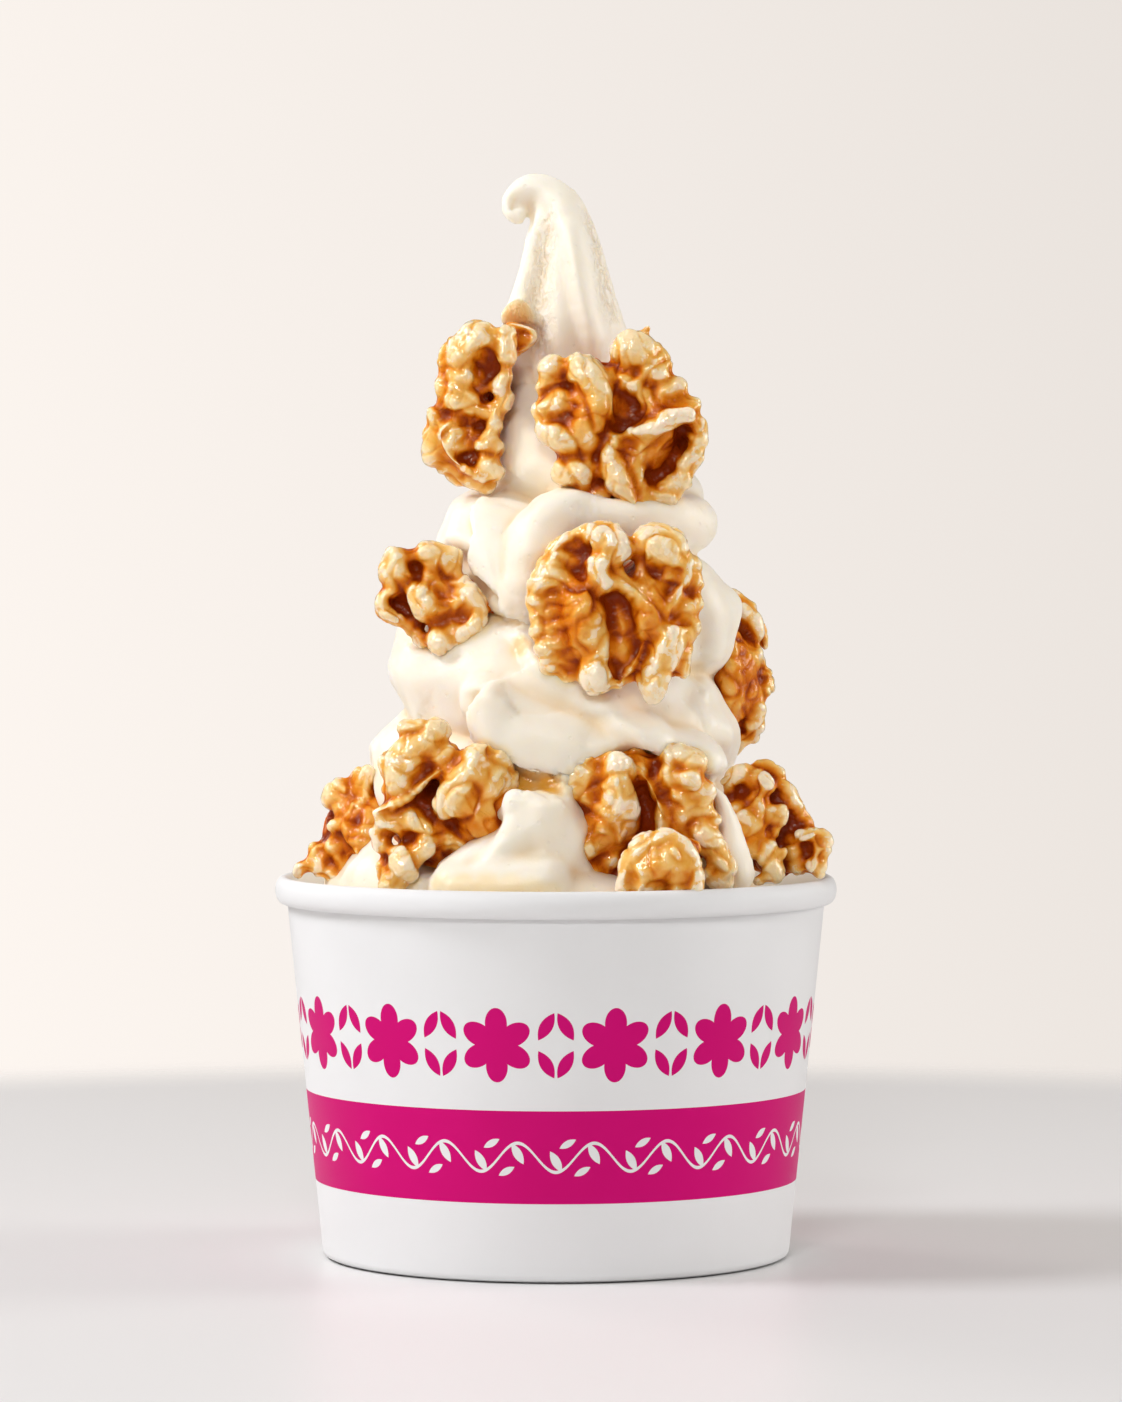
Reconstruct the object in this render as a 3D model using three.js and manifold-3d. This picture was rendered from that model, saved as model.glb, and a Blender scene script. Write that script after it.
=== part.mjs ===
// A paper cup of frozen yogurt: soft serve coiled high above a rolled rim, with caramel-glazed walnut
// halves pressed into the coil.
//
// Frame: millimetres, +Z up, origin on the cup's axis at the level that it stands on. -Y is the front.
//
// The cup is two pieces of paper board, as a real one is: a tapered wall with its rim rolled outwards and
// its foot folded in, and a base disc whose flange is held in that fold. The yogurt is one solid that
// fills the cup and rises as a coil. Each walnut is its own solid in a pocket of the yogurt.
import * as THREE from "three";
import { mergeVertices } from "three/addons/utils/BufferGeometryUtils.js";
import Module from "manifold-3d";

const wasm = await Module();
wasm.setup();

// ---- Driving dimensions -----------------------------------------------------------------------------

const CUP_HEIGHT = 62.1;
const RIM_RADIUS = 46; // outermost radius of the rolled rim
const FOOT_RADIUS = 38.2; // outer radius where the cup stands
const WALL_TOP_RADIUS = 44; // outer radius of the wall just under the roll
const BOARD = 0.5; // thickness of the paper board
const ROUND_STEPS = 56; // facets round the cup

const ROLL_HALF_WIDTH = 1.35;
const ROLL_HALF_HEIGHT = 2.2;
const ROLL_STEPS = 8; // facets along the roll's section
const ROLL_END = -0.8 * Math.PI; // where the board's edge ends, curled under the roll

const FOLD_HEIGHT = 6.5; // how far the wall's foot is folded up inside
const BASE_LEVEL = 7; // underside of the base disc
const FLANGE_FOOT = 1.1; // lower edge of the base disc's flange
const GAP = 0.3; // between solids that touch

const FILL_LEVEL = 59.4; // the yogurt's level at the cup's wall
const FILL_TOP = 65; // and under the coil
const FILL_FLAT = 26; // the radius out to which it is level there
const FILL_BEND = 35; // and from which it falls off to the wall

// The coil climbs clockwise seen from above. One turn counts from the cup's right side (+X).
const COIL_START = -1.1; // turns
const COIL_END = 3.55; // turns
const COIL_FOOT = 67.5; // height of the strand's centre at turn 0
const PITCH = 18.6; // climb per turn
const LEAN = 1.8; // the turns sit this much higher on the left
const STEPS_PER_TURN = 14;
const RIDGES = 8; // points of the star nozzle
const RIDGE_DEPTH = 0.085; // of the strand's radius, each way
const RIDGE_DRIFT = 0.35; // turns that the star makes about the strand for each turn of the coil

// The coil's outer radius, the sideways shift of its middle and the strand's radius, by turn.
const OUTER_RADIUS = [
  [-1.1, 41], [-0.7, 40.4], [-0.3, 36], [0, 33.2], [1, 29.6], [2, 28], [2.6, 22.5], [3, 20.6], [3.55, 14],
];
const SHIFT = [[-1.1, 0], [1, 0.4], [2, 2.4], [2.75, 4.6], [3.55, 3.4]];
const STRAND_RADIUS = [[-1.1, 12.4], [1, 12], [2, 11.6], [3, 10.4], [3.55, 9.6]];

// The strand's last length stands up as a cone and curls over to the left: place and radius.
const PEAK = [
  { at: [2.2, 3.2, 146.5], radius: 10.9 },
  { at: [1.9, 1.2, 153], radius: 10.2 },
  { at: [2.2, 0, 160], radius: 8.5 },
  { at: [2, 0, 167], radius: 6.1 },
  { at: [0.7, 0, 172.4], radius: 4.2 },
  { at: [-2, -0.2, 174.9], radius: 3 },
  { at: [-5.1, -0.7, 174.3], radius: 2.2 },
  { at: [-6.6, -1.4, 171.8], radius: 1.8 },
  { at: [-5.4, -2.2, 169.9], radius: 1.3 },
];
const PEAK_STEPS = 20;

// The middle of the coil, filled up inside the turns: radius and height.
const CORE = [[22, FILL_TOP - 2], [20, 80], [16, 100], [12, 120], [8.6, 140], [0, 150]];
const CORE_STEPS = 20;

// A dab of yogurt on the fill that the small walnut at the rim leans on: its centre and half sizes.
const DAB = { at: [16.3, -33.4, 63.4], size: [8, 5, 4] };
const DAB_STEPS = 12;

// A walnut half before it is turned into place: x across its two lobes, y along the groove between
// them, and z towards the side that faces out. width, length and depth are its sizes. dish is how far
// the middle of that side sinks below its rim of folds, and less than 0 where it is domed.
// at is its centre, facing the compass direction (0 = +X, 90 = +Y) and tilt above the level that the
// side looks in, and roll turns the groove.
const WALNUTS = [
  {
    at: [-11.4, -9.4, 139.4], facing: 208, tilt: 2, roll: -8,
    width: 23.5, length: 28.5, depth: 12.5, dish: 3.4, seed: 11,
  },
  {
    at: [10.4, -16.6, 136.3], facing: 280, tilt: 8, roll: -14,
    width: 26.8, length: 29, depth: 13, dish: 2.8, seed: 23,
  },
  {
    at: [-18.2, -16.5, 108.1], facing: 236, tilt: 24, roll: 52,
    width: 18.5, length: 18.5, depth: 10, dish: 1.6, seed: 37,
  },
  {
    at: [9.3, -27.4, 105.1], facing: 277, tilt: 4, roll: 8,
    width: 27, length: 28.2, depth: 13, dish: 3, seed: 41,
  },
  {
    at: [29.2, 5, 95.4], facing: 8, tilt: 4, roll: 3,
    width: 23, length: 27.2, depth: 13, dish: -1.5, seed: 53,
  },
  {
    at: [-17.2, -27.6, 74.7], facing: 248, tilt: 10, roll: 22,
    width: 23.5, length: 27, depth: 13, dish: 2.6, seed: 67,
  },
  {
    at: [-33.6, -7, 71.8], facing: 196, tilt: 30, roll: 36,
    width: 15, length: 27.5, depth: 11, dish: -1.2, seed: 71,
  },
  {
    at: [13.9, -26.8, 72.9], facing: 281, tilt: 2, roll: -4,
    width: 27.4, length: 24, depth: 12.5, dish: 2.4, seed: 83,
  },
  {
    at: [17.8, -37.8, 66.9], facing: 292, tilt: 26, roll: 84,
    width: 10.6, length: 18.6, depth: 7, dish: 1.8, seed: 97,
  },
  {
    at: [34.6, -14.4, 71.2], facing: 322, tilt: 22, roll: -28,
    width: 19.5, length: 22, depth: 11.5, dish: 2, seed: 103,
  },
  {
    at: [3.5, 26.5, 108], facing: 92, tilt: 6, roll: 20,
    width: 26, length: 28, depth: 12.5, dish: 2.6, seed: 113,
  },
  {
    at: [-19, 26.4, 75.4], facing: 128, tilt: 12, roll: -30,
    width: 25, length: 27, depth: 12.5, dish: 2.4, seed: 127,
  },
  {
    at: [16.6, 29.4, 73.6], facing: 62, tilt: 12, roll: 12,
    width: 24, length: 27, depth: 12.5, dish: -1.4, seed: 131,
  },
  {
    at: [6.5, 14.6, 133.6], facing: 74, tilt: 8, roll: 16,
    width: 24, length: 27, depth: 12, dish: 2.4, seed: 149,
  },
];
const SPOKES = 26; // round a walnut: every other one runs along a fold, the rest along the valleys
const SMALL_SPOKES = 18;
const SMALL_WALNUT = 22; // the length under which a walnut has fewer folds
const SHARES = [0.22, 0.52, 0.82, 1]; // of the way from the groove to the edge
const BACK_SHARE = 0.7; // where the smooth back begins to close
const SPINE = 0.3; // the share of the length along which the folds leave the groove
const CLEFT = 0.24; // how deep the groove's two ends cut into the outline
const KNOB_HEIGHT = 0.1; // of the depth, each way
const KNOB_REACH = 0.065; // of the outline's radius, each way
const STRAY = 0.6; // how unevenly the folds fan out, as a share of the gap between two
const GROOVE_POWER = 10; // how narrow the groove is: more is narrower
const GROOVE_DEPTH = 0.24; // of the depth
const CREST = 0.5; // height of the highest folds over the middle, of the depth
const HEART = 0.45; // the same for the middle of the side that faces out
const SHOULDER = 0.4; // how far the back's rim lies below the middle, of the depth

// ---- Materials --------------------------------------------------------------------------------------

const paint = (color, roughness) => new THREE.MeshStandardMaterial({ color, roughness, metalness: 0 });
const boardMaterial = paint("#f3f1ee", 0.45);
const yogurtMaterial = paint("#fbf1de", 0.5);
const walnutMaterial = paint("#d98f3c", 0.25);

// ---- Small tools ------------------------------------------------------------------------------------

// A number from 0 to 1 that is always the same for one seed and one count.
function chance(seed, count) {
  const wave = Math.sin(seed * 12.9898 + count * 78.233) * 43758.5453;
  return wave - Math.floor(wave);
}

// The value at x on a line through [x, value] points.
function along(points, x) {
  const next = points.findIndex(([at]) => at >= x);
  if (next === 0) return points[0][1];
  if (next < 0) return points[points.length - 1][1];
  const [x0, y0] = points[next - 1];
  const [x1, y1] = points[next];
  return THREE.MathUtils.lerp(y0, y1, (x - x0) / (x1 - x0));
}

// The same surface with its corners shared and no empty faces.
function closed(geometry) {
  const bare = geometry.clone();
  for (const name of Object.keys(bare.attributes)) {
    if (name !== "position") bare.deleteAttribute(name);
  }
  const merged = mergeVertices(bare, 1e-4);
  const faces = [];
  for (let i = 0; i < merged.index.count; i += 3) {
    const face = [0, 1, 2].map((corner) => merged.index.getX(i + corner));
    if (new Set(face).size === 3) faces.push(...face);
  }
  merged.setIndex(faces);
  merged.computeVertexNormals();
  return merged;
}

// A closed geometry as a manifold-3d solid.
function solid(geometry) {
  const shared = closed(geometry);
  return new wasm.Manifold(
    new wasm.Mesh({
      numProp: 3,
      vertProperties: shared.attributes.position.array,
      triVerts: new Uint32Array(shared.index.array),
    }),
  );
}

// The main body of a solid: loose crumbs are left out, and hollows that are shut in, which come apart
// as pieces of negative volume, are filled.
function largest(made) {
  return made.decompose().reduce((kept, other) => (other.volume() > kept.volume() ? other : kept));
}

// A manifold-3d solid as a geometry.
function geometryOf(made) {
  const { vertProperties, triVerts, numProp } = made.getMesh();
  const places = new Float32Array((vertProperties.length / numProp) * 3);
  for (let i = 0; i < places.length / 3; i++) {
    places.set(vertProperties.subarray(i * numProp, i * numProp + 3), i * 3);
  }
  const geometry = new THREE.BufferGeometry();
  geometry.setAttribute("position", new THREE.BufferAttribute(places, 3));
  geometry.setIndex(new THREE.BufferAttribute(new Uint32Array(triVerts), 1));
  geometry.computeVertexNormals();
  return geometry;
}

// A round piece about the Z axis from its [radius, height] outline.
function turned(outline, steps) {
  const points = outline.map(([radius, height]) => new THREE.Vector2(radius, height));
  return closed(new THREE.LatheGeometry(points, steps).rotateX(Math.PI / 2));
}

function piece(name, geometry, material) {
  const mesh = new THREE.Mesh(geometry, material);
  mesh.name = name;
  return mesh;
}

// ---- The cup ----------------------------------------------------------------------------------------

const rollMiddle = [RIM_RADIUS - ROLL_HALF_WIDTH, CUP_HEIGHT - ROLL_HALF_HEIGHT];
const rollFoot = CUP_HEIGHT - 2 * ROLL_HALF_HEIGHT;

// The wall's outer radius at a height below the roll.
function wallRadius(height) {
  return FOOT_RADIUS + ((WALL_TOP_RADIUS - FOOT_RADIUS) * height) / rollFoot;
}

// The roll's section, taken in by inset, from the angle at which it leaves the wall to the other.
function rollArc(inset, from, to) {
  const arc = [];
  for (let i = 0; i <= ROLL_STEPS; i++) {
    const angle = THREE.MathUtils.lerp(from, to, i / ROLL_STEPS);
    arc.push([
      rollMiddle[0] + (ROLL_HALF_WIDTH - inset) * Math.cos(angle),
      rollMiddle[1] + (ROLL_HALF_HEIGHT - inset) * Math.sin(angle),
    ]);
  }
  return arc;
}

// The board runs up the wall, over the roll and under it, and at the foot it is folded up inside.
function cupWall() {
  const foldOut = FOOT_RADIUS - 2 * BOARD - 2 * GAP; // outer face of the folded layer
  const outline = [
    [FOOT_RADIUS, 0],
    [wallRadius(rollFoot), rollFoot],
    ...rollArc(BOARD, Math.PI, ROLL_END),
    ...rollArc(0, ROLL_END, Math.PI),
    [wallRadius(rollFoot) - BOARD, rollFoot],
    [wallRadius(BOARD) - BOARD, BOARD],
    [foldOut, BOARD],
    [foldOut + wallRadius(FOLD_HEIGHT) - FOOT_RADIUS, FOLD_HEIGHT],
    [foldOut + wallRadius(FOLD_HEIGHT) - FOOT_RADIUS - BOARD, FOLD_HEIGHT],
    [foldOut - BOARD, 0],
    [FOOT_RADIUS, 0],
  ];
  return turned(outline, ROUND_STEPS);
}

function cupBase() {
  const rimOf = (height) => wallRadius(height) - BOARD - GAP;
  const top = BASE_LEVEL + BOARD;
  const outline = [
    [0, top],
    [rimOf(top), top],
    [rimOf(FLANGE_FOOT), FLANGE_FOOT],
    [rimOf(FLANGE_FOOT) - BOARD, FLANGE_FOOT],
    [rimOf(BASE_LEVEL) - BOARD, BASE_LEVEL],
    [0, BASE_LEVEL],
  ];
  return turned(outline.reverse(), ROUND_STEPS);
}

// ---- The yogurt -------------------------------------------------------------------------------------

function yogurtFill() {
  const inside = (height) => wallRadius(height) - BOARD - GAP;
  const floor = BASE_LEVEL + BOARD + GAP;
  const shoulder = inside(FILL_LEVEL) - ROLL_HALF_WIDTH;
  const outline = [
    [0, FILL_TOP],
    [FILL_FLAT, FILL_TOP],
    [FILL_BEND, FILL_TOP - 1],
    [shoulder, FILL_LEVEL],
    [inside(rollFoot - 1), rollFoot - 1],
    [inside(floor), floor],
    [0, floor],
  ];
  return turned(outline.reverse(), ROUND_STEPS);
}

function dab() {
  const ball = new THREE.SphereGeometry(1, DAB_STEPS, DAB_STEPS / 2);
  return solid(ball.rotateX(Math.PI / 2).scale(...DAB.size).translate(...DAB.at));
}

// The strand's centre line: the turns of the coil, then the peak.
function strandPlaces() {
  const places = [];
  const steps = Math.round((COIL_END - COIL_START) * STEPS_PER_TURN);
  for (let i = 0; i <= steps; i++) {
    const turn = THREE.MathUtils.lerp(COIL_START, COIL_END, i / steps);
    const angle = -2 * Math.PI * turn;
    const radius = along(STRAND_RADIUS, turn);
    const reach = along(OUTER_RADIUS, turn) - radius;
    places.push({
      at: new THREE.Vector3(
        along(SHIFT, turn) + reach * Math.cos(angle),
        reach * Math.sin(angle),
        COIL_FOOT + PITCH * turn - LEAN * Math.cos(angle),
      ),
      radius,
    });
  }
  const last = places[places.length - 1];
  const knots = [last, ...PEAK.map(({ at, radius }) => ({ at: new THREE.Vector3(...at), radius }))];
  const curve = new THREE.CatmullRomCurve3(knots.map((knot) => knot.at));
  for (let i = 1; i <= PEAK_STEPS; i++) {
    const share = i / PEAK_STEPS;
    const knot = Math.min(Math.floor(share * (knots.length - 1)), knots.length - 2);
    const within = share * (knots.length - 1) - knot;
    const radius = THREE.MathUtils.lerp(knots[knot].radius, knots[knot + 1].radius, within);
    places.push({ at: curve.getPoint(share), radius });
  }
  return places;
}

// The star-shaped sections of the strand, each turned to the way that the strand runs there.
function strandRings() {
  const places = strandPlaces();
  const across = new THREE.Vector3(0, 0, 1);
  return places.map(({ at, radius }, i) => {
    const before = places[Math.max(i - 1, 0)].at;
    const after = places[Math.min(i + 1, places.length - 1)].at;
    const way = after.clone().sub(before).normalize();
    across.addScaledVector(way, -across.dot(way)).normalize();
    const side = way.clone().cross(across);
    const ring = [];
    for (let k = 0; k < 2 * RIDGES; k++) {
      const reach = radius * (1 + (k % 2 ? -RIDGE_DEPTH : RIDGE_DEPTH));
      const angle = (Math.PI * k) / RIDGES + (2 * Math.PI * RIDGE_DRIFT * i) / STEPS_PER_TURN;
      ring.push(
        at.clone()
          .addScaledVector(across, reach * Math.cos(angle))
          .addScaledVector(side, reach * Math.sin(angle)),
      );
    }
    return { middle: at, ring };
  });
}

// One length of the strand as a closed solid.
function strandLength(rings) {
  const count = 2 * RIDGES;
  const places = rings.flatMap(({ ring }) => ring);
  const faces = [];
  for (let i = 0; i + 1 < rings.length; i++) {
    for (let k = 0; k < count; k++) {
      const a = i * count + k;
      const b = i * count + ((k + 1) % count);
      faces.push(a, b, b + count, a, b + count, a + count);
    }
  }
  const first = places.length;
  const end = (rings.length - 1) * count;
  places.push(rings[0].middle, rings[rings.length - 1].middle);
  for (let k = 0; k < count; k++) {
    const next = (k + 1) % count;
    faces.push(first, next, k, first + 1, end + k, end + next);
  }
  const geometry = new THREE.BufferGeometry();
  geometry.setFromPoints(places);
  geometry.setIndex(faces);
  return solid(geometry);
}

function yogurt() {
  let made = solid(yogurtFill()).add(solid(turned([[0, CORE[0][1]], ...CORE], CORE_STEPS))).add(dab());
  const rings = strandRings();
  const stretch = Math.round(STEPS_PER_TURN / 2);
  for (let from = 0; from + 1 < rings.length; from += stretch) {
    made = made.add(strandLength(rings.slice(from, from + stretch + 1)));
  }
  return largest(made);
}

// ---- The walnuts ------------------------------------------------------------------------------------

// A walnut half as a closed surface about its middle, grown by a margin. Folds fan out over the side
// that faces out and end in knobs, the groove's two ends cut into the outline, and the back is smooth.
function walnutShape({ width, length, depth, dish, seed }, margin = 0) {
  const spokes = length < SMALL_WALNUT ? SMALL_SPOKES : SPOKES;
  const places = [new THREE.Vector3(0, 0, depth * HEART - Math.max(dish, 0))];
  for (const [ring, share] of [...SHARES, BACK_SHARE].entries()) {
    const back = ring === SHARES.length;
    for (let k = 0; k < spokes; k++) {
      const angle = (2 * Math.PI * (k + STRAY * (chance(seed, k) - 0.5))) / spokes;
      const groove = Math.abs(Math.sin(angle)) ** GROOVE_POWER;
      const plump = 0.05 + 0.9 * chance(seed, 100 + k) + 0.5 * chance(seed, 200 + ring * spokes + k);
      const fold = back ? 0 : plump * (-1) ** k;
      const edge = 1 / Math.hypot(Math.cos(angle) / (width / 2), Math.sin(angle) / (length / 2));
      const reach = edge * (1 - CLEFT * groove + KNOB_REACH * fold);
      const dome = depth * CREST * (1 - share ** 3) - dish * (1 - share) ** 1.5;
      const wave = depth * (KNOB_HEIGHT * fold - GROOVE_DEPTH * groove) * Math.sqrt(share);
      places.push(
        new THREE.Vector3(
          reach * Math.cos(angle) * share,
          reach * Math.sin(angle) * (SPINE + (1 - SPINE) * share),
          back ? -depth * SHOULDER : dome + wave,
        ),
      );
    }
  }
  places.push(new THREE.Vector3(0, 0, -depth / 2));
  const faces = [];
  const last = places.length - 1;
  for (let k = 0; k < spokes; k++) {
    const next = (k + 1) % spokes;
    faces.push(0, 1 + k, 1 + next);
    for (let ring = 0; ring < SHARES.length; ring++) {
      const inner = 1 + ring * spokes;
      const outer = inner + spokes;
      faces.push(inner + k, outer + k, outer + next, inner + k, outer + next, inner + next);
    }
    faces.push(last, last - spokes + next, last - spokes + k);
  }
  const shape = new THREE.BufferGeometry();
  shape.setFromPoints(places);
  shape.setIndex(faces);
  shape.center();
  const size = shape.boundingBox.getSize(new THREE.Vector3());
  shape.scale(width / size.x, length / size.y, depth / size.z);
  const spots = shape.attributes.position;
  const place = new THREE.Vector3();
  for (let i = 0; i < spots.count; i++) {
    place.fromBufferAttribute(spots, i);
    spots.setXYZ(i, ...place.setLength(place.length() + margin));
  }
  return closed(shape);
}

// Turns a walnut from its own axes into the cup's frame.
function walnutPose({ at, facing, tilt, roll }) {
  const [turn, rise, spin] = [facing, tilt, roll].map(THREE.MathUtils.degToRad);
  return new THREE.Matrix4()
    .makeTranslation(...at)
    .multiply(new THREE.Matrix4().makeRotationZ(turn + Math.PI / 2))
    .multiply(new THREE.Matrix4().makeRotationX(Math.PI / 2 - rise))
    .multiply(new THREE.Matrix4().makeRotationZ(spin));
}

// ---- The whole --------------------------------------------------------------------------------------

const cup = new THREE.Group();
cup.add(piece("cup_wall", cupWall(), boardMaterial));
cup.add(piece("cup_base", cupBase(), boardMaterial));

let pocketed = yogurt();
for (const [i, walnut] of WALNUTS.entries()) {
  const pose = walnutPose(walnut);
  pocketed = pocketed.subtract(solid(walnutShape(walnut, GAP).applyMatrix4(pose)));
  const mesh = piece(`walnut_${String(i + 1).padStart(2, "0")}`, walnutShape(walnut), walnutMaterial);
  mesh.applyMatrix4(pose);
  cup.add(mesh);
}
cup.add(piece("yogurt", geometryOf(largest(pocketed)), yogurtMaterial));

export default cup;
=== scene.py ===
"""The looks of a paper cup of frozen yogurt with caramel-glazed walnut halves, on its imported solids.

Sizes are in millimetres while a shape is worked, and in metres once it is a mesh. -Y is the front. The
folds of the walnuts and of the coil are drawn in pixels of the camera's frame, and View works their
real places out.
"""

import logging
import math
from dataclasses import dataclass
from enum import Enum
from functools import partial

import bmesh
import bpy
import numpy as np
from mathutils import Matrix, Quaternion, Vector, kdtree, noise
from mathutils.bvhtree import BVHTree


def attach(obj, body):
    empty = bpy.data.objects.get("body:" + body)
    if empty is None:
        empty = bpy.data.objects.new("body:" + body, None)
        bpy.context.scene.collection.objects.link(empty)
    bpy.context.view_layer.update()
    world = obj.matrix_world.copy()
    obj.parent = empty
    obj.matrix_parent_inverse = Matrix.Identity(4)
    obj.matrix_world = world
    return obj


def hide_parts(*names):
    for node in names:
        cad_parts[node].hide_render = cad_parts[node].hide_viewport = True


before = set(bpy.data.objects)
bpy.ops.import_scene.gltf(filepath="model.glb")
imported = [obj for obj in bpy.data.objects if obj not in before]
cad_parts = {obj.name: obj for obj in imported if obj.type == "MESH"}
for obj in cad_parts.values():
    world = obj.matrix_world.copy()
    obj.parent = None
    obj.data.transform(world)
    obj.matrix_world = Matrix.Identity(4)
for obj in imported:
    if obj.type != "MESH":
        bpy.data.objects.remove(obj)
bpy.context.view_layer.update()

log = logging.getLogger("yogurt_cup")
MM = 0.001
BODY = "root"

Tree = bpy.types.NodeTree
Node = bpy.types.Node
Socket = bpy.types.NodeSocket
Material = bpy.types.Material
Mesh = bpy.types.Mesh
Point = tuple[float, float, float]


# ---- Colours and nodes ------------------------------------------------------------------------------


def linear(hex_colour: str) -> tuple[float, float, float, float]:
    """Turns an sRGB hex colour into the linear one that the shaders take.

    Args:
        hex_colour: six hex digits after a #.

    Returns:
        Red, green, blue and 1.
    """
    parts = [int(hex_colour[i : i + 2], 16) / 255 for i in (1, 3, 5)]
    return (*(c / 12.92 if c <= 0.04045 else ((c + 0.055) / 1.055) ** 2.4 for c in parts), 1.0)


def per_metre(size: float) -> float:
    """The scale of a texture whose features are a size in mm."""
    return 1 / (size * MM)


def feed(tree: Tree, node: Node, inputs: dict) -> None:
    """Gives a node its inputs.

    Args:
        tree: where it is.
        node: the node.
        inputs: by name or number, a value, or the socket or node (by its first live output) that feeds it.
    """
    for key, value in inputs.items():
        if isinstance(value, Node):
            value = next(socket for socket in value.outputs if socket.enabled)
        if isinstance(value, Socket):
            tree.links.new(value, node.inputs[key])
        else:
            node.inputs[key].default_value = value


def add(tree: Tree, kind: str, *inputs: object, stops: tuple = (), **settings: object) -> Node:
    """Adds a node with its settings, values and links.

    Args:
        tree: where it goes.
        kind: the node's type without its first word, ShaderNode, then any operation after a dot.
        inputs: for each input in turn what feeds it, or a dict of them, as feed takes them.
        stops: a colour ramp's places and sRGB colours.
        settings: the node's own settings.

    Returns:
        The node.
    """
    kind, _, operation = kind.partition(".")
    node = tree.nodes.new(f"ShaderNode{kind}")
    if operation:
        node.operation = operation
    for key, value in settings.items():
        setattr(node, key, value)
    for count, value in enumerate(inputs):
        feed(tree, node, value if isinstance(value, dict) else {count: value})
    for count, (place, colour) in enumerate(stops):
        ramp = node.color_ramp.elements
        element = ramp[count] if count < len(ramp) else ramp.new(place)
        element.position, element.color = place, linear(colour)
    return node


def new_material(name: str) -> tuple[Material, Tree, Node]:
    """Makes a material with an empty principled shader.

    Args:
        name: what the real material is.

    Returns:
        The material, its node tree and its principled shader.
    """
    material = bpy.data.materials.new(name)
    material.use_nodes = True
    tree = material.node_tree
    return material, tree, tree.nodes["Principled BSDF"]


# ---- The camera's view ------------------------------------------------------------------------------


@dataclass(frozen=True)
class View:
    """What the camera sees: where it stands in mm, how it looks down, and its frame in pixels."""

    eye: Point = (0.0, -900.0, 114.34)
    pitch: float = 0.02626  # radians below the horizon
    size: tuple[int, int] = (1122, 1402)
    focus: float = 5491.54  # how far off the frame is, in pixels
    ahead: tuple[float, float] = (555.947, 701.0)  # the pixel straight ahead

    def ray(self, across: float, down: float) -> Point:
        """The way that a pixel looks in."""
        right, up = (across - self.ahead[0]) / self.focus, -(down - self.ahead[1]) / self.focus
        level, fall = math.cos(self.pitch), math.sin(self.pitch)
        return right, level + up * fall, up * level - fall

    def at(self, across: float, down: float, depth: float) -> Point:
        """The point that a pixel shows where y is the depth."""
        ray = self.ray(across, down)
        far = (depth - self.eye[1]) / ray[1]
        return tuple(start + far * step for start, step in zip(self.eye, ray))


VIEW = View()


# ---- Working soft shapes ----------------------------------------------------------------------------


@dataclass(frozen=True)
class Stroke:
    """A ridge drawn out of a skin's front, or a groove where push is below 0, in mm."""

    line: tuple[tuple[float, float], ...]  # to the right and up, as seen from the front
    push: float
    width: float  # how far it reaches to the left of its run
    steep: float = 0.0  # and to the right of its run, if that side is cut steeply


@dataclass(frozen=True)
class Fold:
    """A rounded ridge of dough, seen from the front, in mm from the middle of its piece."""

    line: tuple[Point, ...]  # to the right, up and radius
    lift: float  # how far its middle lies towards the eye
    rise: float = 1.0  # its height over its width: a thin sheet has more than 1
    crust: float = 0.0  # how much dry whitish sugar sits on it


@dataclass(frozen=True)
class Window:
    """A magnified window of the camera's frame, in which the folds of one walnut are drawn."""

    left: float  # its corner, in pixels of the frame
    top: float
    scale: float
    drawn: tuple  # for each fold its line (across, down, radius), then its lift in mm, rise and crust

    def folds(self, middle: Point) -> tuple[Fold, ...]:
        """Works the drawn folds out, to a tenth of a mm.

        Args:
            middle: the middle of the walnut.

        Returns:
            The folds, in mm from there.
        """
        folds = []
        for line, lift, *more in self.drawn:
            depth = middle[1] - lift
            pixel = (depth - VIEW.eye[1]) / VIEW.focus / self.scale  # its size in mm at that depth
            points = []
            for across, down, radius in line:
                x, _, z = VIEW.at(self.left + across / self.scale, self.top + down / self.scale, depth)
                points.append((round(x - middle[0], 1), round(z - middle[2], 1), round(radius * pixel, 1)))
            folds.append(Fold(tuple(points), lift, *more))
        return tuple(folds)


def smooth_line(points: np.ndarray, per_span: int) -> np.ndarray:
    """Threads a smooth line through points.

    Args:
        points: one row for each point, with any values that vary along the line.
        per_span: steps between two points.

    Returns:
        The line's rows.
    """
    ends = np.vstack([2 * points[0] - points[1], points, 2 * points[-1] - points[-2]])
    rows = []
    for a, b, c, d in zip(ends[:-3], ends[1:-2], ends[2:-1], ends[3:]):
        for t in np.arange(per_span) / per_span:
            bent = 2 * b + (c - a) * t + (2 * a - 5 * b + 4 * c - d) * t**2
            rows.append(0.5 * (bent + (3 * b - a - 3 * c + d) * t**3))
    return np.array([*rows, points[-1]])


def ramped(values: np.ndarray, low: float, high: float) -> np.ndarray:
    """Goes smoothly from 0 at low to 1 at high."""
    share = np.clip((values - low) / (high - low), 0, 1)
    return share * share * (3 - 2 * share)


def bump(values: np.ndarray, width: float) -> np.ndarray:
    """A smooth bump that is 1 at 0 and falls off over a width."""
    return np.exp(-((values / width) ** 2))


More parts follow.
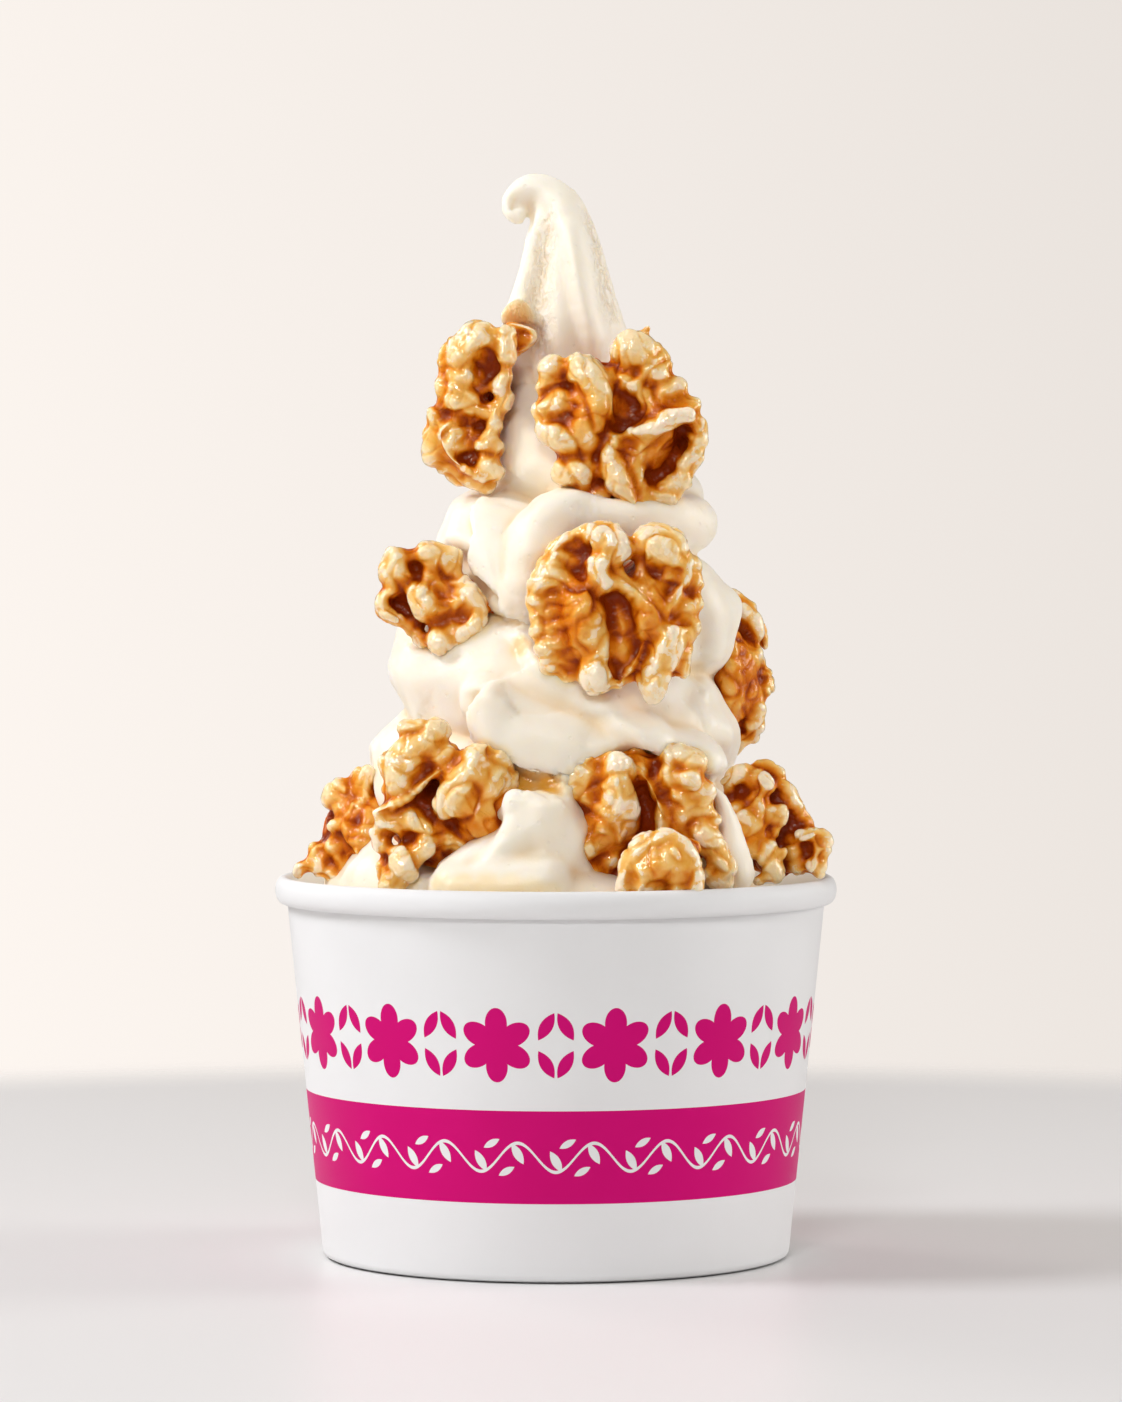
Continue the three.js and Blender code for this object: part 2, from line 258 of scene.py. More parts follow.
class Dough:
    """A soft solid that is built up from balls, ropes and swept strands, then joined into one skin."""

    bead_gap = 0.3  # between the balls of a rope, of its thinnest radius

    def __init__(self, plump: float = 1.0, skin: float = 0.0) -> None:
        """Starts with nothing but a round ball to copy.

        Args:
            plump: how much thicker ropes are made.
            skin: and by how many mm more, for what easing takes off.
        """
        self.plump, self.skin = plump, skin
        self.shape = bmesh.new()
        self.round = bpy.data.meshes.new("round")
        ball = bmesh.new()
        bmesh.ops.create_icosphere(ball, subdivisions=2, radius=1)
        ball.to_mesh(self.round)
        ball.free()

    def ball(self, centre: Point, radii: Point, turn: Quaternion | None = None) -> None:
        """Adds an ellipsoid."""
        copy = self.round.copy()
        copy.transform(Matrix.LocRotScale(Vector(centre), turn, Vector(radii)))
        self.shape.from_mesh(copy)
        bpy.data.meshes.remove(copy)

    def rope(self, points: np.ndarray, rise: float, towards: Vector) -> None:
        """Adds a fold as a close row of ellipsoids.

        Args:
            points: rows of x, y, z and radius.
            rise: its height over its width.
            towards: the way that a fold which is taller than wide stands up.
        """
        points = points * (1, 1, 1, self.plump) + (0, 0, 0, self.skin)
        turn = Vector((0, 0, 1)).rotation_difference(towards)
        longest = np.linalg.norm(np.diff(points[:, :3], axis=0), axis=1).max()
        steps = max(2, math.ceil(longest / (self.bead_gap * points[:, 3].min())))
        for x, y, z, radius in smooth_line(points, steps):
            sunk = Vector((x, y, z)) - towards * radius * (rise - 1)
            self.ball(sunk, (radius, radius, radius * rise), turn)

    def strand(self, rings: list[tuple[Vector, Vector, Vector, np.ndarray]]) -> None:
        """Adds a strand that is pushed through a ring of points from place to place.

        Args:
            rings: for each place its middle, the section's two axes and the radius at each spoke.
        """
        spokes = len(rings[0][3])
        mark = self.shape.verts.layers.int.get("spoke") or self.shape.verts.layers.int.new("spoke")
        made = bmesh.ops.create_circle(self.shape, cap_ends=True, segments=spokes, radius=1)["verts"]
        for spoke, vert in enumerate(made):
            vert[mark] = spoke
        cap = made[0].link_faces[0]
        for count, (middle, across, up, radii) in enumerate(rings):
            if count:
                grown = bmesh.ops.extrude_face_region(self.shape, geom=[cap])["geom"]
                cap = next(item for item in grown if isinstance(item, bmesh.types.BMFace))
            for vert in cap.verts:
                angle, radius = math.tau * vert[mark] / spokes, radii[vert[mark]]
                vert.co = middle + (across * math.cos(angle) + up * math.sin(angle)) * radius

    def frustum(self, low: tuple[float, float], high: tuple[float, float], sides: int) -> None:
        """Adds a capped cone between two levels, each a radius and a height."""
        middle = Matrix.Translation((0, 0, (low[1] + high[1]) / 2))
        ends = {"radius1": low[0], "radius2": high[0], "depth": high[1] - low[1]}
        bmesh.ops.create_cone(self.shape, cap_ends=True, segments=sides, matrix=middle, **ends)

    def joined(self, name: str, voxel: float) -> Mesh:
        """Joins everything into one closed skin.

        Args:
            name: the mesh's name.
            voxel: the size of its faces in mm.

        Returns:
            The mesh, still in mm.
        """
        bmesh.ops.recalc_face_normals(self.shape, faces=self.shape.faces)
        rough = bpy.data.meshes.new(name)
        self.shape.to_mesh(rough)
        self.shape.free()
        bpy.data.meshes.remove(self.round)
        return remeshed(rough, voxel)


def remeshed(rough: Mesh, voxel: float) -> Mesh:
    """Joins shells that cross into one even skin.

    Args:
        rough: the shells, which are used up.
        voxel: the size of the new faces.

    Returns:
        The new mesh.
    """
    name = rough.name
    body = bpy.data.objects.new(name, rough)
    bpy.context.scene.collection.objects.link(body)
    join = body.modifiers.new("join", "REMESH")
    join.mode, join.voxel_size, join.adaptivity = "VOXEL", voxel, 0
    mesh = bpy.data.meshes.new_from_object(body.evaluated_get(bpy.context.evaluated_depsgraph_get()))
    bpy.data.objects.remove(body)
    bpy.data.meshes.remove(rough)
    mesh.name = name
    drop_crumbs(mesh)
    return mesh


def drop_crumbs(mesh: Mesh) -> None:
    """Leaves only the largest of a mesh's separate shells."""
    pairs = np.empty(len(mesh.edges) * 2, int)
    mesh.edges.foreach_get("vertices", pairs)
    shell, found = np.arange(len(mesh.vertices)), None
    while found is None or (found != shell).any():
        found = shell.copy()
        np.minimum.at(shell, pairs, np.repeat(found[pairs].reshape(-1, 2).min(1), 2))
        shell = shell[shell]
    loose = np.flatnonzero(shell != np.bincount(shell).argmax())
    if len(loose):
        shape = bmesh.new()
        shape.from_mesh(mesh)
        shape.verts.ensure_lookup_table()
        bmesh.ops.delete(shape, geom=[shape.verts[int(index)] for index in loose], context="VERTS")
        shape.to_mesh(mesh)
        shape.free()


class Skin:
    """The points of a mesh as arrays, for easing, pushing and noting values on them."""

    probe = 0.9  # how near to a stroke's line the front of the skin is looked for, in mm
    blunt_end = 0.2  # the share of a stroke in which it fades in, and out

    def __init__(self, mesh: Mesh) -> None:
        """Reads a mesh's points and edges."""
        self.mesh = mesh
        count = len(mesh.vertices)
        self.places = np.empty(count * 3)
        mesh.vertices.foreach_get("co", self.places)
        self.places = self.places.reshape(-1, 3)
        edges = np.empty(len(mesh.edges) * 2, int)
        mesh.edges.foreach_get("vertices", edges)
        self.near = np.hstack([edges[::2], edges[1::2]])
        self.far = np.hstack([edges[1::2], edges[::2]])
        self.share = 1 / np.maximum(np.bincount(self.near, minlength=count), 1)[:, None]

    def eased(self, values: np.ndarray, rounds: int, keep: float = 0.5) -> np.ndarray:
        """Evens values out with their neighbours.

        Args:
            values: one row for each point.
            rounds: how many times.
            keep: how much of a point's own value stays each time.

        Returns:
            The evened values.
        """
        count = len(values)
        for _ in range(rounds):
            parts = [np.bincount(self.near, column[self.far], count) for column in values.T]
            values = values * keep + np.stack(parts, 1) * self.share * (1 - keep)
        return values

    def ease(self, rounds: int) -> None:
        """Evens the points out."""
        self.places = self.eased(self.places, rounds)

    def outward(self) -> np.ndarray:
        """The direction that each point faces."""
        self.mesh.vertices.foreach_set("co", self.places.ravel())
        self.mesh.update()
        normals = np.empty(self.places.size)
        self.mesh.vertex_normals.foreach_get("vector", normals)
        self.facing = normals.reshape(-1, 3)
        return self.facing

    def push(self, rise: np.ndarray | float) -> None:
        """Moves each point outwards by a number of mm."""
        self.places = self.places + self.outward() * rise

    def waves(self, size: float, seed: float) -> np.ndarray:
        """Smooth noise from -1 to 1, with features of a size in mm."""
        return np.array([noise.noise(Vector(p) / size + Vector((seed, -seed, seed))) for p in self.places])

    def creases(self, size: float, seed: float) -> np.ndarray:
        """Sharp lines that wander about a size in mm apart: 1 along them, 0 between them."""
        return np.clip(1 - np.abs(self.waves(size, seed)) / 0.2, 0, 1) ** 1.5

    def hollows(self, rounds: int) -> np.ndarray:
        """How many mm each point stands out of its surroundings: below 0 in a hollow."""
        return ((self.places - self.eased(self.places, rounds)) * self.outward()).sum(1)

    def traced(self, line: np.ndarray, spots: np.ndarray) -> np.ndarray:
        """Lays a line on the front of the skin.

        Args:
            line: rows of x and z.
            spots: the skin's points near it.

        Returns:
            Rows of x, y and z, for the part of the line that lies on the skin.
        """
        rows = []
        for along, up in line:
            here = (np.abs(spots[:, 0] - along) < self.probe) & (np.abs(spots[:, 2] - up) < self.probe)
            if here.any():
                rows.append((along, spots[here, 1].min(), up))
        return np.array(rows)

    def press(self, stroke: Stroke) -> None:
        """Draws a stroke out of the front of the skin, or presses it in."""
        path = smooth_line(np.array(stroke.line), 8)
        margin = 3 * stroke.width
        x, y, z = self.places.T
        low, high = path.min(0) - margin, path.max(0) + margin
        close = np.flatnonzero((x > low[0]) & (x < high[0]) & (z > low[1]) & (z < high[1]))
        spots = self.places[close]
        on_skin = self.traced(path, spots)
        run = np.gradient(on_skin, axis=0)
        off, nearest = np.full(len(spots), np.inf), np.zeros(len(spots), int)
        for count, point in enumerate(on_skin):
            away = ((spots - point) ** 2).sum(1)
            nearest[away < off] = count
            off = np.minimum(off, away)
        off = np.sqrt(off)
        aside = spots - on_skin[nearest]
        right = run[nearest, 0] * aside[:, 2] - run[nearest, 2] * aside[:, 0] < 0
        share = nearest / (len(on_skin) - 1)
        taper = ramped(np.minimum(share, 1 - share), 0, self.blunt_end) * 0.85 + 0.15
        gain = bump(off, stroke.width)
        if stroke.steep:
            sharp = 1.5 * bump(off, stroke.steep) - 0.5 * bump(off, 2.6 * stroke.steep)
            gain = np.where(right, sharp, gain)
        self.places[close] += self.facing[close] * (stroke.push * taper * gain)[:, None]

    def note(self, name: str, values: np.ndarray) -> None:
        """Keeps a value for each point, for a material to read."""
        kept = self.mesh.attributes.new(name, "FLOAT", "POINT")
        kept.data.foreach_set("value", values.astype(np.float32))

    def finish(self, pose: Matrix | None = None) -> Mesh:
        """Writes the points back, places them and turns mm to metres.

        Args:
            pose: where the shape goes, in mm.

        Returns:
            The mesh.
        """
        self.mesh.vertices.foreach_set("co", self.places.ravel())
        self.mesh.transform(Matrix.Scale(MM, 4) @ (pose or Matrix()))
        self.mesh.shade_smooth()
        self.mesh.update()
        return self.mesh


def show(mesh: Mesh, name: str, material: Material, slot: str, *nodes: str) -> None:
    """Puts a finished mesh in the scene as a piece.

    Args:
        mesh: in metres, in place.
        name: the piece's name.
        material: its finish.
        slot: the name of a material slot; not used.
        nodes: the CAD nodes that it stands for.
    """
    piece = bpy.data.objects.new(name, mesh)
    bpy.context.scene.collection.objects.link(piece)
    piece.data.materials.clear()
    piece.data.materials.append(material)
    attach(piece, BODY)
    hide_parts(*nodes)
    log.info("%s: %d faces", name, len(mesh.polygons))


# ---- Finishes ---------------------------------------------------------------------------------------


@dataclass(frozen=True)
class Leaf:
    """A leaf or petal of the print, in mm from the middle of its cell."""

    at: tuple[float, float]
    turn: float  # degrees that it leans to the left
    half: tuple[float, float]  # half its width and length
    round_ended: bool = False  # as a petal is


@dataclass(frozen=True)
class PrintedBoard:
    """Coated paper board of a cup's side, printed with a band and a border of blossoms."""

    white: str = "#e6e7e8"
    shaded_white: str = "#e2e3e4"
    ink: str = "#cc0a72"
    deep_ink: str = "#c6086c"
    reach: float = 41.6  # the wall's radius at the print, for widths along it
    band: tuple[float, float] = (12.6, 27.4)  # its foot and top
    border_middle: float = 37.8
    blossoms: int = 14
    petals: int = 6
    petal_out: float = 3.4
    petal_half: tuple[float, float] = (1.75, 2.5)
    heart: Leaf = Leaf((0, 0), 0, (1.9, 1.9), round_ended=True)
    leaf_half: tuple[float, float] = (1.0, 2.5)
    leaf_rise: float = 3.0
    leaf_turn: float = 30
    leaf_inset: float = 1.5
    vine_waves: int = 21
    vine_middle: float = 20.0
    vine_swing: float = 2.3
    vine_width: float = 0.26
    buds: tuple[Leaf, ...] = (
        Leaf((-3.1, -0.6), 30, (0.72, 1.9)),
        Leaf((3.1, 0.6), 30, (0.72, 1.9)),
        Leaf((-1.2, 2.2), -62, (0.55, 1.5)),
        Leaf((1.2, -2.2), -62, (0.55, 1.5)),
    )
    fibre: float = 0.385  # the board's grain, in mm
    mottle: float = 25.0

    def blossom(self) -> list[Leaf]:
        """Lists the marks of one blossom's cell.

        Returns:
            Its petals, its heart and the leaves on both sides.
        """
        marks = [self.heart]
        for petal in range(self.petals):
            angle = math.tau * petal / self.petals
            at = (-self.petal_out * math.sin(angle), self.petal_out * math.cos(angle))
            marks.append(Leaf(at, math.degrees(angle), self.petal_half, round_ended=True))
        out = math.pi * self.reach / self.blossoms - self.leaf_inset
        for side in (-1, 1):
            for up in (-1, 1):
                turn = -side * up * self.leaf_turn
                marks.append(Leaf((side * out, up * self.leaf_rise), turn, self.leaf_half))
        return marks

    def drawn(
        self, tree: Tree, place: tuple[Node, Node], count: int, middle: float, marks: list[Leaf]
    ) -> Node:
        """Draws the marks of a cell and repeats them round the cup.

        Args:
            tree: the material's nodes.
            place: the angle round the cup in turns, and the height in mm.
            count: cells round the cup.
            middle: the height of the cells' middle.
            marks: what a cell holds.

        Returns:
            A node that gives 1 inside the marks.
        """
        node = partial(add, tree)
        cells = node("Math.MULTIPLY_ADD", place[0], float(count), 0.5 + count)
        share = node("Math.FRACT", cells)
        width = math.tau * self.reach / count
        across = node("Math.MULTIPLY_ADD", share, width, -width / 2)
        up = node("Math.SUBTRACT", place[1], middle)
        cell = node("CombineXYZ", across, up)
        whole = None
        for mark in marks:
            turn = (0, 0, math.radians(mark.turn))
            pose = {"Location": (*mark.at, 0), "Rotation": turn, "Scale": (*mark.half, 1)}
            parts = node("SeparateXYZ", node("Mapping", {"Vector": cell, **pose}, vector_type="TEXTURE"))
            along = node("Math.POWER", parts.outputs[1], 2.0)
            aside = node("Math.ABSOLUTE", parts.outputs[0])
            width_left = node("Math.POWER", aside, 2.0 if mark.round_ended else 1.0)
            both = node("Math.ADD", along, width_left)
            inside = node("Math.LESS_THAN", both, 1.0)
            whole = node("Math.MAXIMUM", whole, inside) if whole else inside
        return whole

    def vine(self, tree: Tree, turns: Node, height: Node) -> Node:
        """Draws the vine.

        Args:
            tree: the material's nodes.
            turns: the angle round the cup in turns.
            height: the height in mm.

        Returns:
            A node that gives 1 on the vine.
        """
        node = partial(add, tree)
        wave = node("Math.MULTIPLY", turns, math.tau * self.vine_waves)
        swing = node("Math.SINE", wave)
        line = node("Math.MULTIPLY_ADD", swing, self.vine_swing, self.vine_middle)
        gap = node("Math.SUBTRACT", height, line)
        size = node("Math.ABSOLUTE", gap)
        return node("Math.LESS_THAN", size, self.vine_width)

    def make(self) -> Material:
        """Builds the material.

        Returns:
            The material.
        """
        # Poly-coated cup board: bright white, smooth, with a satin sheen; the ink lies under the coat.
        material, tree, shader = new_material("poly_coated_cup_board")
        node = partial(add, tree)
        place = node("TexCoord").outputs["Object"]
        parts = node("SeparateXYZ", place)
        angle = node("Math.ARCTAN2", parts.outputs[1], parts.outputs[0])
        turns = node("Math.DIVIDE", angle, math.tau)
        height = node("Math.MULTIPLY", parts.outputs[2], 1 / MM)
        above = node("Math.GREATER_THAN", height, self.band[0])
        below = node("Math.LESS_THAN", height, self.band[1])
        band = node("Math.MULTIPLY", above, below)
        round_cup = (turns, height)
        border = self.drawn(tree, round_cup, self.blossoms, self.border_middle, self.blossom())
        buds = self.drawn(tree, round_cup, self.vine_waves, self.vine_middle, list(self.buds))
        left_white = node("Math.MAXIMUM", self.vine(tree, turns, height), buds)
        plain = node("Math.SUBTRACT", band, left_white, use_clamp=True)
        inked = node("Math.MAXIMUM", plain, border)
        fibre = node("TexNoise", {"Vector": place, "Scale": per_metre(self.fibre), "Detail": 3.0})
        tone = node("TexNoise", {"Vector": place, "Scale": per_metre(self.mottle), "Detail": 2.0})
        paper = node("ValToRGB", tone, stops=((0.3, self.shaded_white), (0.7, self.white)))
        ink = node("ValToRGB", tone, stops=((0.3, self.deep_ink), (0.7, self.ink)))
        colour = node("Mix", {0: inked, 6: paper, 7: ink}, data_type="RGBA")
        rough = node("MapRange", fibre, 0, 1, 0.36, 0.46)
        grain = node("Bump", {"Height": fibre, "Strength": 0.12, "Distance": 0.03 * MM})
        feed(tree, shader, {"Base Color": colour, "Roughness": rough, "Normal": grain})
        shader.inputs["Specular IOR Level"].default_value = 0.06
        return material


@dataclass(frozen=True)
class PlainBoard:
    """Uncoated paper board, as on a cup's base."""

    light: str = "#f2efea"
    dark: str = "#e8e4dd"
    fibre: float = 1.11  # in mm

    def make(self) -> Material:
        """Builds the material.

        Returns:
            The material.
        """
        # Bare cup stock: matt, slightly warm, with a soft fibre mottle.
        material, tree, shader = new_material("bare_cup_board")
        node = partial(add, tree)
        place = node("TexCoord").outputs["Object"]
        fibre = node("TexNoise", {"Vector": place, "Scale": per_metre(self.fibre), "Detail": 5.0})
        colour = node("ValToRGB", fibre, stops=((0.35, self.dark), (0.65, self.light)))
        grain = node("Bump", {"Height": fibre, "Strength": 0.3, "Distance": 0.06 * MM})
        feed(tree, shader, {"Base Color": colour, "Normal": grain, "Roughness": 0.7})
        return material


@dataclass(frozen=True)
class SoftYogurt:
    """Soft-served frozen yogurt: dense cream that light sinks into, stained where syrup has run."""

    light: str = "#f6f0e3"
    shade: str = "#f4ead8"
    # painted shade: the darker, warmer colour given to hollows and to the torn skin's pits
    hollow: str = "#eed8b2"
    melt: str = "#f6dc9c"
    syrup: str = "#e7a941"
    cloud: float = 11.1  # sizes in mm: broad changes of tone
    drift: float = 2.38  # of the stains' edges
    bubble: float = 2.38  # between two burst bubbles
    ice: float = 0.385  # ice crystals
    torn_grain: Point = (1.11, 1.43, 1.92)
    torn_slant: float = 35  # degrees

    def colour(self, tree: Tree, place: Socket, beaten: Node, depth: Node) -> Node:
        """Mixes the colour.

        Args:
            tree: the material's nodes.
            place: the place on the cup.
            beaten: how torn the skin is.
            depth: how much syrup has sunk in.

        Returns:
            The node that gives it.
        """
        node = partial(add, tree)
        cloud = node("TexNoise", {"Vector": place, "Scale": per_metre(self.cloud), "Detail": 3.0})
        body = node("ValToRGB", cloud, stops=((0.3, self.shade), (0.62, self.light)))
        # painted shade: hollows and the pits of the torn skin are tinted darker and warmer
        deep = node("Attribute", attribute_name="deep").outputs["Fac"]
        sunk = node("Math.MULTIPLY_ADD", beaten, 0.42, deep, use_clamp=True)
        body = node("Mix", {0: sunk, 6: body, 7: linear(self.hollow)}, data_type="RGBA")
        stained = node("ValToRGB", depth, stops=((0.0, self.light), (0.45, self.melt), (1.0, self.syrup)))
        return node("Mix", {0: depth, 6: body, 7: stained}, data_type="RGBA")

    def make(self) -> Material:
        """Builds the material.

        Returns:
            The material.
        """
        # Whipped dairy: an off-white body with deep soft scattering and a moist, satin surface.
        material, tree, shader = new_material("soft_frozen_yogurt")
        node = partial(add, tree)
        place = node("TexCoord").outputs["Object"]
        torn = node("Attribute", attribute_name="torn").outputs["Fac"]
        grain = [per_metre(size) for size in self.torn_grain]
        slant = {"Vector": place, "Rotation": (0, math.radians(self.torn_slant), 0), "Scale": grain}
        feather = {"Vector": node("Mapping", slant), "Scale": 1.0, "Detail": 2.5, "Distortion": 1.2}
        pits = node("MapRange", node("TexNoise", feather), 0.44, 0.62)
        beaten = node("Math.MULTIPLY", torn, pits)

        stain = node("Attribute", attribute_name="syrup").outputs["Fac"]
        drift = node("TexNoise", {"Vector": place, "Scale": per_metre(self.drift), "Detail": 4.0})
        level = node("Math.MULTIPLY_ADD", drift, 0.3, 0.85)
        depth = node("Math.MULTIPLY", stain, level, use_clamp=True)
        rough = node("MapRange", depth, 0, 1, 0.44, 0.16)

        crystals = node("TexNoise", {"Vector": place, "Scale": per_metre(self.ice), "Detail": 2.0})
        bubbles = node("TexVoronoi", {"Vector": place, "Scale": per_metre(self.bubble), "Randomness": 1.0})
        rim = node("MapRange", bubbles, 0.08, 0.16, -1.0, 0.0)
        holes = node("Math.MULTIPLY_ADD", beaten, -5.0, rim)
        height = node("Math.MULTIPLY_ADD", crystals, 0.35, holes)
        dress = {
            "Base Color": self.colour(tree, place, beaten, depth),
            "Roughness": rough,
            "Normal": node("Bump", {"Height": height, "Strength": 0.6, "Distance": 0.12 * MM}),
            "IOR": 1.38,
            "Subsurface Weight": 0.7,
            "Subsurface Radius": (1.0, 0.9, 0.66),
            "Subsurface Scale": 1.7 * MM,
        }
        feed(tree, shader, dress)
        return material


@dataclass(frozen=True)
class GlazedWalnut:
    """Walnut kernel boiled in caramel: pale on the folds, deep amber where the syrup has pooled and, as
    painted shade, in hollows and creases.
    """

    # from deep amber at 0, for pooled syrup and painted shade, to pale crests at 1
    stops: tuple[tuple[float, str], ...] = (
        (0.0, "#842b00"),
        (0.2, "#ba5600"),
        (0.42, "#de8212"),
        (0.62, "#eba945"),
        (0.82, "#f5c672"),
        (1.0, "#fce3b6"),
    )
    # also the colour of the pale crest patches, in part a painted highlight
    sugar: str = "#fdecd4"
    blotch: float = 3.85  # sizes in mm: of thicker and thinner syrup
    pore: float = 0.77
    speck: float = 1.92  # specks of dried sugar
    flesh_and_highlight_size: float = 2.78  # where bare pale flesh shows, in part as a painted highlight
    fissure: float = 2.08  # between two fine cracks

    def sugared(self, tree: Tree, place: Socket, level: Node) -> Node:
        """Finds where dried sugar shows, and pale patches on the crests: bare flesh, in part a painted
        highlight.

        Args:
            tree: the material's nodes.
            place: the place on the cup.
            level: the tone of the kernel.

        Returns:
            A node that gives 0 to 1.
        """
        node = partial(add, tree)
        crust = node("Attribute", attribute_name="crust").outputs["Fac"]
        broken = {"Detail": 6.0, "Roughness": 0.68, "Distortion": 0.6}
        speck = node("TexNoise", {"Vector": place, "Scale": per_metre(self.speck), **broken})
        dry = node("Math.MULTIPLY", speck, crust)
        crusted = node("MapRange", dry, 0.36, 0.4, 0, 0.8)
        ragged = {"Vector": place, "Scale": per_metre(self.flesh_and_highlight_size), "Detail": 3.0, "Distortion": 0.8}
        flesh_and_highlight_chips = node("TexNoise", ragged)
        # pale patches on the crests: bare flesh, and in part a painted highlight
        bare = node("MapRange", flesh_and_highlight_chips, 0.54, 0.565, 0, 0.62)
        crest = node("MapRange", level, 0.66, 0.78)
        shown = node("Math.MULTIPLY", crest, bare)
        return node("Math.MAXIMUM", crusted, shown)

    def make(self) -> Material:
        """Builds the material.

        Returns:
            The material.
        """
        # Caramel syrup over oily kernel: warm scattering under a hard, wet-looking coat.
        material, tree, shader = new_material("caramel_glazed_kernel")
        node = partial(add, tree)
        place = node("TexCoord").outputs["Object"]
        # the kernel's tone: pooled syrup, and painted shade in hollows and creases
        tone = node("Attribute", attribute_name="tone").outputs["Fac"]
        blotch = node("TexNoise", {"Vector": place, "Scale": per_metre(self.blotch), "Detail": 4.0})
        pores = node("TexNoise", {"Vector": place, "Scale": per_metre(self.pore), "Detail": 3.0})
        shift = node("Math.MULTIPLY_ADD", blotch, 0.22, -0.135)
        mixed = node("Math.ADD", tone, shift)
        fine = node("Math.MULTIPLY_ADD", pores, 0.12, -0.06)
        level = node("Math.ADD", mixed, fine, use_clamp=True)
        kernel = node("ValToRGB", level, stops=self.stops)
        # dried sugar, and pale crest patches that are in part a painted highlight
        sugar_flesh_and_highlight = self.sugared(tree, place, level)
        cracks = {"Vector": place, "Scale": per_metre(self.fissure), "Detail": 1.0}
        cut = node("MapRange", node("TexVoronoi", cracks, feature="DISTANCE_TO_EDGE"), 0, 0.12)
        rough_skin = node("Math.MULTIPLY_ADD", pores, 1.6, cut)
        height = node("Math.MULTIPLY_ADD", sugar_flesh_and_highlight, 0.6, rough_skin)
        dress = {
            "Base Color": node("Mix", {0: sugar_flesh_and_highlight, 6: kernel, 7: linear(self.sugar)}, data_type="RGBA"),
            "Roughness": node("MapRange", sugar_flesh_and_highlight, 0, 1, 0.28, 0.6),
            "Normal": node("Bump", {"Height": height, "Strength": 0.6, "Distance": 0.12 * MM}),
            "Specular IOR Level": 0.1,
            "Subsurface Weight": 0.35,
            "Subsurface Radius": (1.0, 0.6, 0.25),
            "Subsurface Scale": 1.0 * MM,
            "Coat Weight": node("MapRange", level, 0.3, 0.75, 0.1, 1.0),
            "Coat Roughness": 0.05,
            "Coat IOR": 1.42,
        }
        feed(tree, shader, dress)
        return material


# ---- The paper cup ----------------------------------------------------------------------------------


